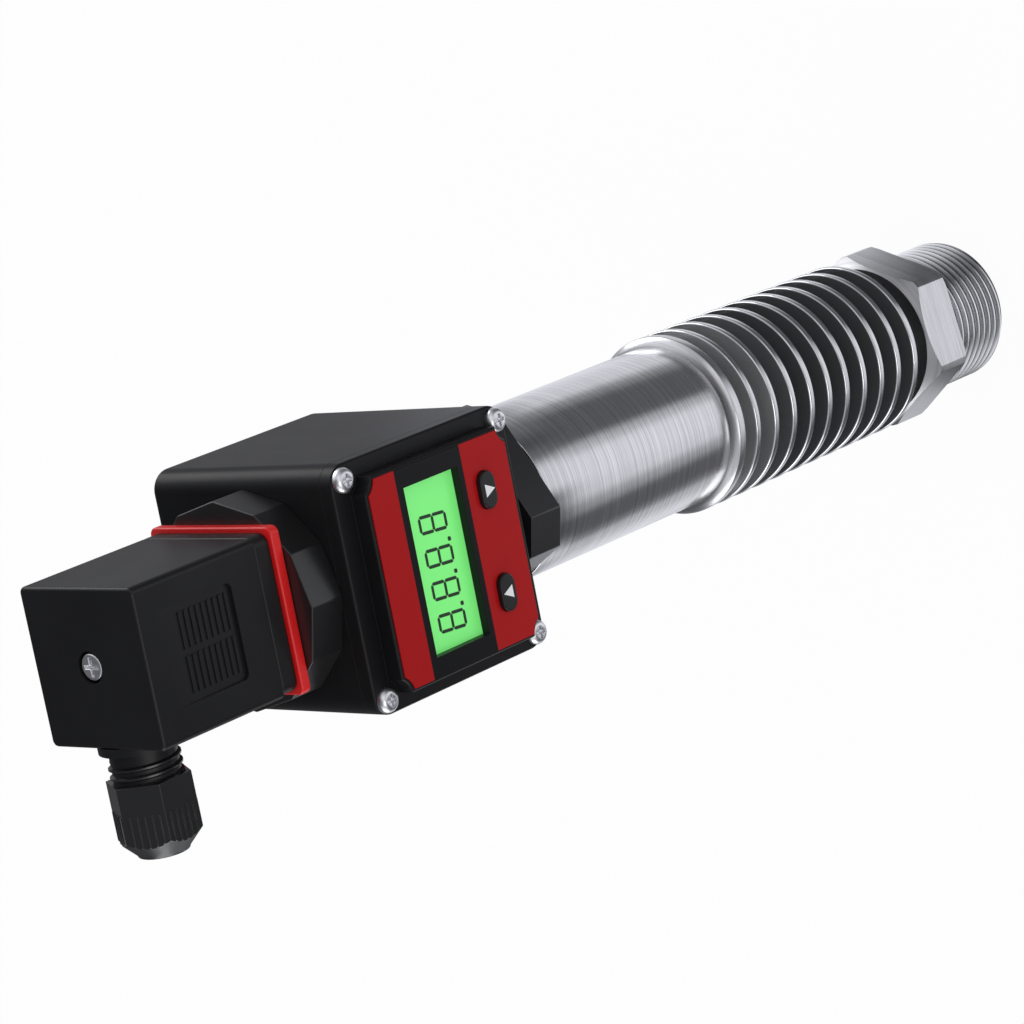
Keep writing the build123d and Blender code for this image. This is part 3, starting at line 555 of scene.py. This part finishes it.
grain, grain_in, grain_out = new_group(
    "moulded_grain",
    [("Size", FLOAT, 3500.0), ("Roughness", FLOAT, 0.42), ("Spread", FLOAT, 0.1)],
    [("Roughness", FLOAT), ("Height", FLOAT), ("Tint", FLOAT)])
grain_place = grain.nodes.new("ShaderNodeTexCoord")
grain_scale = grain.nodes.new("ShaderNodeVectorMath")
grain_scale.operation = "SCALE"
link(grain, grain_place, "Object", grain_scale, 0)
link(grain, grain_in, "Size", grain_scale, "Scale")
fine_grain = noise_node(grain, grain_scale.outputs[0], 1.0, 2.0, 0.6)
patches = noise_node(grain, grain_scale.outputs[0], 0.012, 3.0, 0.6)
grain_centred = math_node(grain, "SUBTRACT", patches, 0.5)
grain_spread = math_node(grain, "MULTIPLY", grain_centred, grain_in.outputs["Spread"])
grain_rough = math_node(grain, "ADD", grain_spread, grain_in.outputs["Roughness"])
grain.links.new(grain_rough, grain_out.inputs["Roughness"])
grain.links.new(fine_grain, grain_out.inputs["Height"])
grain.links.new(math_node(grain, "ADD", 0.5, grain_centred), grain_out.inputs["Tint"])
print("groups", [group.name for group in bpy.data.node_groups])


# %% Materials from the groups
def mix_colour(tree, factor, dark, light):
    mix = tree.nodes.new("ShaderNodeMix")
    mix.data_type = "RGBA"
    mix.inputs[6].default_value = (*dark, 1)
    mix.inputs[7].default_value = (*light, 1)
    tree.links.new(factor, mix.inputs[0])
    return mix.outputs[2]


def surface(name, group, settings, dark, light, bump_mm, metallic=0.0, specular=0.5):
    """A Principled material whose colour, roughness and bump come from one of the groups."""
    material = bpy.data.materials.new(name)
    material.use_nodes = True
    tree = material.node_tree
    shader = tree.nodes["Principled BSDF"]
    effect = tree.nodes.new("ShaderNodeGroup")
    effect.node_tree = group
    for title, value in settings.items():
        effect.inputs[title].default_value = value
    tree.links.new(mix_colour(tree, effect.outputs["Tint"], dark, light), shader.inputs["Base Color"])
    link(tree, effect, "Roughness", shader, "Roughness")
    bump = tree.nodes.new("ShaderNodeBump")
    bump.inputs["Strength"].default_value = 1.0
    bump.inputs["Distance"].default_value = bump_mm * MM
    link(tree, effect, "Height", bump, "Height")
    link(tree, bump, "Normal", shader, "Normal")
    shader.inputs["Metallic"].default_value = metallic
    shader.inputs["Specular IOR Level"].default_value = specular
    return material


steel_round = surface("steel_brushed_round", brush,
                      {"Stretch": (26.0, 26.0, 9000.0), "Roughness": 0.17, "Spread": 0.12},
                      (0.44, 0.44, 0.45), (0.92, 0.92, 0.93), 0.0035, metallic=1.0)
steel_flats = surface("steel_brushed_flats", brush,
                      {"Stretch": (120.0, 120.0, 9000.0), "Roughness": 0.24, "Spread": 0.12},
                      (0.50, 0.50, 0.51), (0.78, 0.78, 0.79), 0.0018, metallic=1.0)
steel_turned = surface("steel_turned", brush,
                       {"Stretch": (30.0, 30.0, 6000.0), "Roughness": 0.2, "Spread": 0.08},
                       (0.64, 0.64, 0.65), (0.92, 0.92, 0.93), 0.001, metallic=1.0)
# a darker, rougher copy of the turned steel: the rougher finish is real, the darker colour is painted shade
steel_painted_shade = surface("steel_turned_painted_shade", brush,
                     {"Stretch": (30.0, 30.0, 6000.0), "Roughness": 0.3, "Spread": 0.08},
                     (0.24, 0.24, 0.25), (0.44, 0.44, 0.45), 0.001, metallic=1.0)
screw_metal = surface("screw_metal", grain, {"Size": 9000.0, "Roughness": 0.34, "Spread": 0.1},
                      (0.78, 0.78, 0.80), (0.94, 0.94, 0.96), 0.001, metallic=1.0)
housing_plastic = surface("housing_plastic", grain, {"Size": 5200.0, "Roughness": 0.36, "Spread": 0.08},
                          (0.006, 0.006, 0.0065), (0.011, 0.011, 0.012), 0.003, specular=0.18)
plug_plastic = surface("plug_plastic", grain, {"Size": 5200.0, "Roughness": 0.4, "Spread": 0.1},
                       (0.006, 0.006, 0.0065), (0.011, 0.011, 0.012), 0.003, specular=0.3)
collar_plastic = surface("collar_plastic", grain, {"Size": 2600.0, "Roughness": 0.32, "Spread": 0.08},
                         (0.007, 0.007, 0.0075), (0.012, 0.012, 0.013), 0.002, specular=0.7)
gland_plastic = surface("gland_plastic", grain, {"Size": 4200.0, "Roughness": 0.28, "Spread": 0.06},
                        (0.006, 0.006, 0.0065), (0.010, 0.010, 0.011), 0.001, specular=0.85)
button_plastic = surface("button_plastic", grain, {"Size": 4200.0, "Roughness": 0.3, "Spread": 0.06},
                         (0.006, 0.006, 0.0065), (0.011, 0.011, 0.012), 0.002, specular=0.35)
red_rubber = surface("red_rubber", grain, {"Size": 3000.0, "Roughness": 0.35, "Spread": 0.06},
                     (0.62, 0.007, 0.007), (0.78, 0.013, 0.013), 0.001, specular=0.5)
black_rubber = surface("black_rubber", grain, {"Size": 2600.0, "Roughness": 0.6, "Spread": 0.1},
                       (0.010, 0.010, 0.010), (0.022, 0.022, 0.022), 0.004)
board_lacquer = surface("board_lacquer", grain, {"Size": 1800.0, "Roughness": 0.35, "Spread": 0.2},
                        (0.008, 0.07, 0.025), (0.02, 0.14, 0.05), 0.006)
grey_plastic = surface("grey_plastic", grain, {"Size": 3600.0, "Roughness": 0.45, "Spread": 0.1},
                       (0.07, 0.07, 0.075), (0.11, 0.11, 0.12), 0.004)
contact_plating = surface("contact_plating", grain, {"Size": 6000.0, "Roughness": 0.25, "Spread": 0.1},
                          (0.55, 0.42, 0.18), (0.8, 0.64, 0.3), 0.002, metallic=1.0)
ring_alloy = surface("ring_alloy", brush,
                     {"Stretch": (40.0, 40.0, 7000.0), "Roughness": 0.32, "Spread": 0.15},
                     (0.6, 0.61, 0.62), (0.8, 0.81, 0.82), 0.002, metallic=1.0)
white_ink = surface("white_ink", grain, {"Size": 5000.0, "Roughness": 0.45, "Spread": 0.1},
                    (0.78, 0.78, 0.78), (0.86, 0.86, 0.86), 0.001)
digit_ink = surface("digit_ink", grain, {"Size": 5000.0, "Roughness": 0.5, "Spread": 0.05},
                    (0.012, 0.03, 0.014), (0.016, 0.04, 0.018), 0.001)
print("materials", len(bpy.data.materials))

# %% [markdown]
# Finishes of the pieces inside
#
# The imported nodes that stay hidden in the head, the tube and the plug keep their own meshes. Each
# still gets a real finish, so that the model looks right when it is taken apart.

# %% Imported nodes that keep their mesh
inner_finishes = {
    "pressure_cell": steel_turned, "cell_retainer": steel_turned, "cell_ring": black_rubber,
    "amplifier_board": board_lacquer, "display_board": board_lacquer, "board_spacer": grey_plastic,
    "button_switches": grey_plastic, "board_screws": screw_metal, "screw_washer": steel_turned,
    "gland_washer": steel_turned, "gland_grommet": black_rubber, "cover_gasket": black_rubber,
    "lower_lock_ring": ring_alloy, "upper_lock_ring": ring_alloy, "plug_base": plug_plastic,
    "contact_blades": contact_plating,
}
for node, material in inner_finishes.items():
    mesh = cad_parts[node].data
    mesh.materials.clear()
    mesh.materials.append(material)
print("inner nodes dressed", len(inner_finishes))

# %% [markdown]
# The turned fitting
#
# The whole process end is turned from one bar: thread, hexagon, fins and flange. The ten fins are
# one lathe profile, so a single spin makes them, and the flange is a second profile with a brushed
# finish of its own. Every edge is broken by a small round, which catches the light as a bright line.
# The grooves between the fins get painted shade, a darker and less metallic steel than their rims, lifted in
# part beside the flange.


# %% Steel with painted shade in the grooves
def steel_with_painted_groove_shade(name, steel, rim, depth, dark, shaded_groove_metal):
    """A steel with painted shade in its grooves: darker below the rim, by the distance from the axis in
    millimetres.
    """
    material = steel.copy()
    material.name = name
    tree = material.node_tree
    shader = tree.nodes["Principled BSDF"]
    place = tree.nodes.new("ShaderNodeTexCoord")
    flat = tree.nodes.new("ShaderNodeVectorMath")
    flat.operation = "MULTIPLY"
    flat.inputs[1].default_value = (1, 1, 0)
    link(tree, place, "Object", flat, 0)
    reach = tree.nodes.new("ShaderNodeVectorMath")
    reach.operation = "LENGTH"
    link(tree, flat, 0, reach, 0)
    outside = tree.nodes.new("ShaderNodeMapRange")
    outside.name = "rims"
    outside.inputs["From Min"].default_value = (rim - depth) * MM
    outside.inputs["From Max"].default_value = rim * MM
    link(tree, reach, "Value", outside, "Value")
    bright = shader.inputs["Base Color"].links[0].from_socket
    # painted shade: the dark colour goes into the grooves, and the steel's own colour stays on the rims
    mix = tree.nodes.new("ShaderNodeMix")
    mix.data_type = "RGBA"
    mix.inputs[6].default_value = (*dark, 1)
    link(tree, outside, 0, mix, 0)
    tree.links.new(bright, mix.inputs[7])
    tree.links.new(mix.outputs[2], shader.inputs["Base Color"])
    # less metal in the grooves deepens the painted shade
    if shaded_groove_metal < 1:
        metal = tree.nodes.new("ShaderNodeMapRange")
        metal.inputs["To Min"].default_value = shaded_groove_metal
        link(tree, outside, 0, metal, "Value")
        link(tree, metal, 0, shader, "Metallic")
    return material


def lift_painted_groove_shade(material, low, high, most):
    """Lifts the painted shade in the grooves in part, from one height to another, in millimetres."""
    tree = material.node_tree
    place = tree.nodes.new("ShaderNodeTexCoord")
    split = tree.nodes.new("ShaderNodeSeparateXYZ")
    link(tree, place, "Object", split, 0)
    clear = tree.nodes.new("ShaderNodeMapRange")
    clear.inputs["From Min"].default_value = low * MM
    clear.inputs["From Max"].default_value = high * MM
    clear.inputs["To Max"].default_value = most
    link(tree, split, "Z", clear, "Value")
    rims = tree.nodes["rims"]
    targets = [target.to_socket for target in rims.outputs[0].links]
    brighter = tree.nodes.new("ShaderNodeMath")
    brighter.operation = "MAXIMUM"
    link(tree, rims, 0, brighter, 0)
    link(tree, clear, 0, brighter, 1)
    for target in targets:
        tree.links.new(brighter.outputs[0], target)


# %% Fins
overlap = 1.0  # how far one piece reaches into the next, so that no gap shows
hex_height = 11.2
fin_count = 10
fin_pitch = 6.0
fin_thickness = 1.6
fin_radius = 18.25
root_radius = 12.5
first_fin = 17.5
flange_low = 76.6
rim_round = 0.45
root_round = 0.6
groove_end = flange_low + overlap / 2
fin_points = [(root_radius - 2 * overlap, hex_height - overlap), (root_radius, hex_height - overlap)]
shade_lift_length = 17.0
rim_corners = []
root_corners = []
for fin in range(fin_count):
    low = first_fin + fin * fin_pitch
    root_corners += [len(fin_points), len(fin_points) + 3]
    rim_corners += [len(fin_points) + 1, len(fin_points) + 2]
    fin_points += [(root_radius, low), (fin_radius, low), (fin_radius, low + fin_thickness),
                   (root_radius, low + fin_thickness)]
fin_points += [(root_radius, groove_end), (root_radius - 2 * overlap, groove_end)]
# the fins' grooves take a near-black, non-metallic steel, which is painted shade, lifted in part over the
# last stretch below the flange
steel_fins = steel_with_painted_groove_shade("steel_fins", steel_round, fin_radius - 0.15, 0.2, (0.055, 0.055, 0.058), 0.0)
lift_painted_groove_shade(steel_fins, flange_low - shade_lift_length, flange_low, 0.6)
fins_bm = turned(fin_points, steps=160, rounded={rim_round: rim_corners, root_round: root_corners})
fins = carry(add_object("fitting_fins", fins_bm, 40), steel_fins, ["process_fitting"])
report(fins)

# %% Flange
flange_rim = 1.9
flange_lip = 0.05
tube_low, tube_high = (corner[2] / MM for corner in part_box("tube_casing"))
tube_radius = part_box("tube_casing")[1][0] / MM
flange_points = [(root_radius - overlap, flange_low), (fin_radius, flange_low),
                 (fin_radius, flange_low + flange_rim), (tube_radius + flange_lip, tube_low),
                 (root_radius - overlap, tube_low)]
flange_bm = turned(flange_points, steps=160, rounded={0.3: [1], 0.2: [2]})
flange = carry(add_object("fitting_flange", flange_bm, 40), steel_flats, ["process_fitting"])
report(flange)

# %% [markdown]
# The hexagon
#
# A real hexagon is a bar with six flats whose corners are turned down at a slant at both ends,
# which leaves curved bright edges on every flat. Intersecting a six-sided bar with a double cone
# gives exactly those curves.

# %% Hexagon
hex_across = 33.0
hex_turn = 8.7
hex_corner = 18.6
hex_base = 17.9
hex_face = 16.0
base_angle = 30
face_angle = 36
cone_lean = 0.2  # faces that lean this much along the axis are turned and rougher, and take a darker steel that is painted shade
base_slope = (hex_corner - hex_base) * tan(radians(base_angle))
face_slope = (hex_corner - hex_face) * tan(radians(face_angle))
hex_bar = polygon_bar(6, hex_across, hex_height + 2 * overlap, hex_turn)
move(hex_bar, z=-overlap)
hex_cone = turned([(0, 0), (hex_base, 0), (hex_corner, base_slope), (hex_corner, hex_height - face_slope),
                   (hex_face, hex_height), (0, hex_height)], steps=144)
hexagon = add_object("fitting_hexagon", combine(hex_bar, hex_cone, "INTERSECT"), 25)
round_edges(hexagon, 0.15, 2, 25)
carry(hexagon, steel_flats, ["process_fitting"])
# the hexagon's slanted and end faces take the darker steel, which is painted shade
hexagon.data.materials.append(steel_painted_shade)
for face in hexagon.data.polygons:
    face.material_index = 1 if abs(face.normal.z) > cone_lean else 0
report(hexagon)

# %% [markdown]
# The process thread
#
# A screw thread is one V-shaped ridge that climbs round a cylinder. Its profile covers exactly one
# pitch, so a spin that also lifts by one pitch a turn makes turns that join without a seam. The
# helix is then intersected with a turned body that gives the chamfer, the end face and the port.


# %% Helical thread
def helix(radius, pitch, depth, low, high, steps=72):
    """A closed bar with a 60 degree screw thread, a little longer than from low to high."""
    bm = bmesh.new()
    crest, root = pitch / 5, pitch / 5
    flank = (pitch - crest - root) / 2
    levels = [(radius - depth, 0), (radius - depth, root), (radius, root + flank),
              (radius, root + flank + crest), (radius - depth, pitch)]
    turns = int((high - low) / pitch) + 4
    start = low - 2 * pitch
    verts = [bm.verts.new((r, 0, start + z)) for r, z in levels]
    edges = [bm.edges.new(pair) for pair in zip(verts, verts[1:])]
    bmesh.ops.spin(bm, geom=verts + edges, cent=(0, 0, 0), axis=(0, 0, 1), dvec=(0, 0, pitch / steps),
                   angle=turns * tau, steps=turns * steps, use_merge=False)
    bmesh.ops.remove_doubles(bm, verts=bm.verts, dist=0.001)
    for level, side in ((low, -1), (high, 1)):
        cut = bmesh.ops.bisect_plane(bm, geom=bm.verts[:] + bm.edges[:] + bm.faces[:], dist=0.0005,
                                     plane_co=(0, 0, level), plane_no=(0, 0, side), clear_outer=True)
        rim = [item for item in cut["geom_cut"] if isinstance(item, bmesh.types.BMEdge)]
        bmesh.ops.edgeloop_fill(bm, edges=rim)
    bmesh.ops.recalc_face_normals(bm, faces=bm.faces)
    return bm


thread_radius = 15.0
thread_pitch = 2.0
thread_depth = 1.2
thread_end = cad_box[0][2] / MM
thread_chamfer = 1.5
thread_top = 0.2
thread_spare = 0.05
port_mouth = 6.0
thread_bar = helix(thread_radius, thread_pitch, thread_depth, thread_end - 0.5, 2 * thread_top)
thread_body = turned([(port_mouth, thread_end), (thread_radius - thread_chamfer, thread_end),
                      (thread_radius + thread_spare, thread_end + thread_chamfer * 0.9),
                      (thread_radius + thread_spare, thread_top), (port_mouth, thread_top)], steps=96)
thread = add_object("fitting_thread", combine(thread_bar, thread_body, "INTERSECT"), 25)
# the thread's valleys get a darker grey below the crests: painted shade
painted_valley_shade = (0.10, 0.10, 0.105)
steel_thread = steel_with_painted_groove_shade("steel_thread", steel_turned, thread_radius - 0.1, 0.8, painted_valley_shade, 1.0)
carry(thread, steel_thread, ["process_fitting"])
report(thread)

# %% The port inside the thread
port_depth = 8.0
port_cone = 3.0
bore_radius = 3.0
bore_end = 6.0
port_back = 8.0
port_wall = 0.6
port_low = thread_end + 0.3
port_points = [(port_mouth + port_wall, port_low), (port_mouth, port_low),
               (port_mouth, thread_end + port_depth), (bore_radius, thread_end + port_depth + port_cone),
               (bore_radius, bore_end), (0.0, bore_end), (0.0, port_back),
               (port_mouth + port_wall, port_back)]
port = add_object("fitting_port", turned(port_points, steps=64), 30)
carry(port, steel_turned, ["process_fitting"])
report(port)

# %% [markdown]
# The tube
#
# The tube is a plain stainless sleeve, brushed round its axis. Its ends are only a little rounded.

# %% Tube
tube_wall = 1.5
tube_points = [(tube_radius - tube_wall, tube_low), (tube_radius, tube_low), (tube_radius, tube_high),
               (tube_radius - tube_wall, tube_high)]
tube = add_object("tube_sleeve", turned(tube_points, steps=160, rounded={0.25: [1, 2]}), 40)
carry(tube, steel_round, ["tube_casing"])
report(tube)

# %% [markdown]
# Moulded pieces
#
# The collars, the housing, the cover, the plug and the nut are moulded or die-cast. Their packed
# shapes are right, but their edges are perfectly sharp, and real mouldings never are. A merged copy
# of each mesh takes a narrow bevel, which draws the fine highlight along every edge.


# %% Rounded copies of moulded nodes
def moulded(node, name, material, edge, angle=32):
    piece = add_object(name, merged_copy(node), angle)
    round_edges(piece, edge, angle=angle)
    carry(piece, material, [node])
    report(piece)


moulded("lower_collar", "collar_low", collar_plastic, 0.35)
moulded("upper_collar", "collar_high", collar_plastic, 0.35, angle=25)
moulded("display_housing", "head_housing", housing_plastic, 0.3)
moulded("display_cover", "head_cover", housing_plastic, 0.2)
moulded("terminal_insert", "plug_foot", plug_plastic, 0.25)
moulded("plug_hood", "plug_cap", plug_plastic, 0.2)
moulded("gland_nut", "gland_cap", gland_plastic, 0.15)
moulded("profile_gasket", "plug_gasket", red_rubber, 0.2)
moulded("centre_screw", "plug_screw", screw_metal, 0.12)
moulded("cover_screws", "head_screws", screw_metal, 0.1)

# %% [markdown]
# The gland's thread
#
# A short stretch of the moulded thread shows between the plug's boss and the gland nut. It is a
# coarse, rounded ridge, made the same way as the process thread.

# %% Gland thread
gland_height = sum(corner[2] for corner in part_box("gland_nut")) / 2 / MM
nut_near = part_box("gland_nut")[1][0] / MM
boss_face = -16.35
gland_length = boss_face - nut_near
gland_radius = 6.55
gland_pitch = 1.6
gland_depth = 0.75
plain_neck = 1.9
into_nut = 0.6
gland_bar = helix(gland_radius, gland_pitch, gland_depth, plain_neck, gland_length + into_nut, steps=48)
gland_thread = add_object("gland_thread", along_x(gland_bar, boss_face, gland_height), 30)
carry(gland_thread, gland_plastic)
report(gland_thread)

# %% [markdown]
# Screen and label
#
# The screen glows green from behind, and its digits are dark. The label is a printed film with a
# red field above and below a black one. The colour fields follow heights on the object, so they
# are a step in the material rather than a picture.


# %% Screen material
def glowing(name, colour, strength, roughness):
    material = bpy.data.materials.new(name)
    material.use_nodes = True
    tree = material.node_tree
    shader = tree.nodes["Principled BSDF"]
    effect = tree.nodes.new("ShaderNodeGroup")
    effect.node_tree = grain
    effect.inputs["Size"].default_value = 900.0
    effect.inputs["Roughness"].default_value = roughness
    effect.inputs["Spread"].default_value = 0.05
    dark = tuple(value * 0.92 for value in colour)
    tint = mix_colour(tree, effect.outputs["Tint"], dark, colour)
    tree.links.new(tint, shader.inputs["Base Color"])
    tree.links.new(tint, shader.inputs["Emission Color"])
    link(tree, effect, "Roughness", shader, "Roughness")
    shader.inputs["Emission Strength"].default_value = strength
    return material


screen_green = glowing("screen_green", (0.15, 0.64, 0.15), 0.62, 0.25)
guide_green = glowing("guide_green", (0.1, 0.5, 0.12), 0.25, 0.4)
for node, material in (("display_screen", screen_green), ("screen_backlight", guide_green)):
    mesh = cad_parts[node].data
    mesh.materials.clear()
    mesh.materials.append(material)


# %% Label material
field_top = 11.2
field_bottom = -6.3


def label_material():
    """Red above and below, black in the middle, by height on the object."""
    material = bpy.data.materials.new("label_print")
    material.use_nodes = True
    tree = material.node_tree
    shader = tree.nodes["Principled BSDF"]
    place = tree.nodes.new("ShaderNodeTexCoord")
    split = tree.nodes.new("ShaderNodeSeparateXYZ")
    link(tree, place, "Object", split, 0)
    height = split.outputs["Z"]
    upper = math_node(tree, "GREATER_THAN", height, (display_middle + field_top) * MM)
    lower = math_node(tree, "LESS_THAN", height, (display_middle + field_bottom) * MM)
    red = math_node(tree, "MAXIMUM", upper, lower)
    fields = mix_colour(tree, red, (0.008, 0.008, 0.009), (0.38, 0.006, 0.007))
    effect = tree.nodes.new("ShaderNodeGroup")
    effect.node_tree = grain
    effect.inputs["Size"].default_value = 2400.0
    effect.inputs["Roughness"].default_value = 0.3
    tree.links.new(fields, shader.inputs["Base Color"])
    link(tree, effect, "Roughness", shader, "Roughness")
    shader.inputs["Specular IOR Level"].default_value = 0.12
    return material


label_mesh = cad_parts["label_film"].data
label_mesh.materials.clear()
label_mesh.materials.append(label_material())

# %% [markdown]
# The digits
#
# Each digit is the classic seven bars, all lit here, with a dot after each of the first three.
# A bar is a short slab with pointed ends, made from a six-sided outline.


# %% Seven-bar digits
def bar(length, width, thickness):
    """A slab along X with pointed ends, facing +Z."""
    bm = bmesh.new()
    half, shoulder = length / 2, (length - width) / 2
    corners = [(-half, 0), (-shoulder, -width / 2), (shoulder, -width / 2), (half, 0),
               (shoulder, width / 2), (-shoulder, width / 2)]
    face = bm.faces.new([bm.verts.new((x, y, 0)) for x, y in corners])
    grown = bmesh.ops.extrude_face_region(bm, geom=[face])["geom"]
    moved = [item for item in grown if isinstance(item, bmesh.types.BMVert)]
    bmesh.ops.translate(bm, vec=(0, 0, thickness), verts=moved)
    bmesh.ops.recalc_face_normals(bm, faces=bm.faces)
    return bm


digit_width = 3.5
digit_height = 7.3
bar_width = 0.6
bar_gap = 0.16
ink_height = 0.06
digit_starts = [-11.0, -5.0, 1.0, 7.2]
digit_level = 2.2
slant = 0.08
dot_size = 0.8
dot_shift = 2.6
screen_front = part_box("display_screen")[0][1] / MM
upright = Matrix.Rotation(radians(90), 3, "Z")
digit_parts = []
for start in digit_starts:
    half_width, half_height = (digit_width - bar_width) / 2, (digit_height - bar_width) / 2
    for level in (-half_height, 0, half_height):
        part = bar(2 * half_width - bar_gap, bar_width, ink_height)
        digit_parts.append(move(part, start, level))
    for side in (-1, 1):
        for level in (-half_height / 2, half_height / 2):
            part = bar(half_height - bar_gap, bar_width, ink_height)
            bmesh.ops.rotate(part, cent=(0, 0, 0), matrix=upright, verts=part.verts)
            digit_parts.append(move(part, start + side * half_width, level))
for start in digit_starts[:3]:
    dot = slab(dot_size, dot_size, 0.25, ink_height, 3)
    digit_parts.append(move(dot, start + dot_shift, -half_height, ink_height))
digits_bm = join(*digit_parts)
for vert in digits_bm.verts:
    vert.co.x += slant * vert.co.y
digits = add_object("screen_digits", face_reader(digits_bm, screen_front, 0, digit_level), 30)
carry(digits, digit_ink)
report(digits)

# %% [markdown]
# Buttons
#
# Two oblong buttons stand a little out of the label. Each carries a light triangle, one pointing
# up and one down. Cap and triangle ride on the button's own body, so both go in when it is pressed.


# %% Buttons and their arrows
button_drop = -11.0
arrow_half = 1.2
arrow_foot = 1.0
arrow_tip = 1.5
arrow_thickness = 0.05
arrow_gap = 0.01


def arrow(points_up):
    """A thin triangle that faces +Z and points up or down."""
    bm = bmesh.new()
    sign = 1 if points_up else -1
    corners = [(-arrow_half, -arrow_foot * sign), (arrow_half, -arrow_foot * sign), (0, arrow_tip * sign)]
    face = bm.faces.new([bm.verts.new((x, y, 0)) for x, y in corners])
    grown = bmesh.ops.extrude_face_region(bm, geom=[face])["geom"]
    moved = [item for item in grown if isinstance(item, bmesh.types.BMVert)]
    bmesh.ops.translate(bm, vec=(0, 0, arrow_thickness), verts=moved)
    bmesh.ops.recalc_face_normals(bm, faces=bm.faces)
    return bm


for button, points_up in (("button_up", True), ("button_down", False)):
    low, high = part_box(button)
    cap = add_object(button + "_cap", merged_copy(button), 32)
    round_edges(cap, 0.3, 3, 32)
    carry(cap, button_plastic, [button], button)
    button_middle = (low[0] + high[0]) / 2 / MM
    sign_bm = face_reader(arrow(points_up), low[1] / MM + arrow_gap, button_middle, button_drop)
    sign = add_object(button + "_arrow", sign_bm, 30)
    carry(sign, white_ink, (), button)
    report(cap)

# %% Finish
bpy.context.scene.view_settings.view_transform = "Standard"
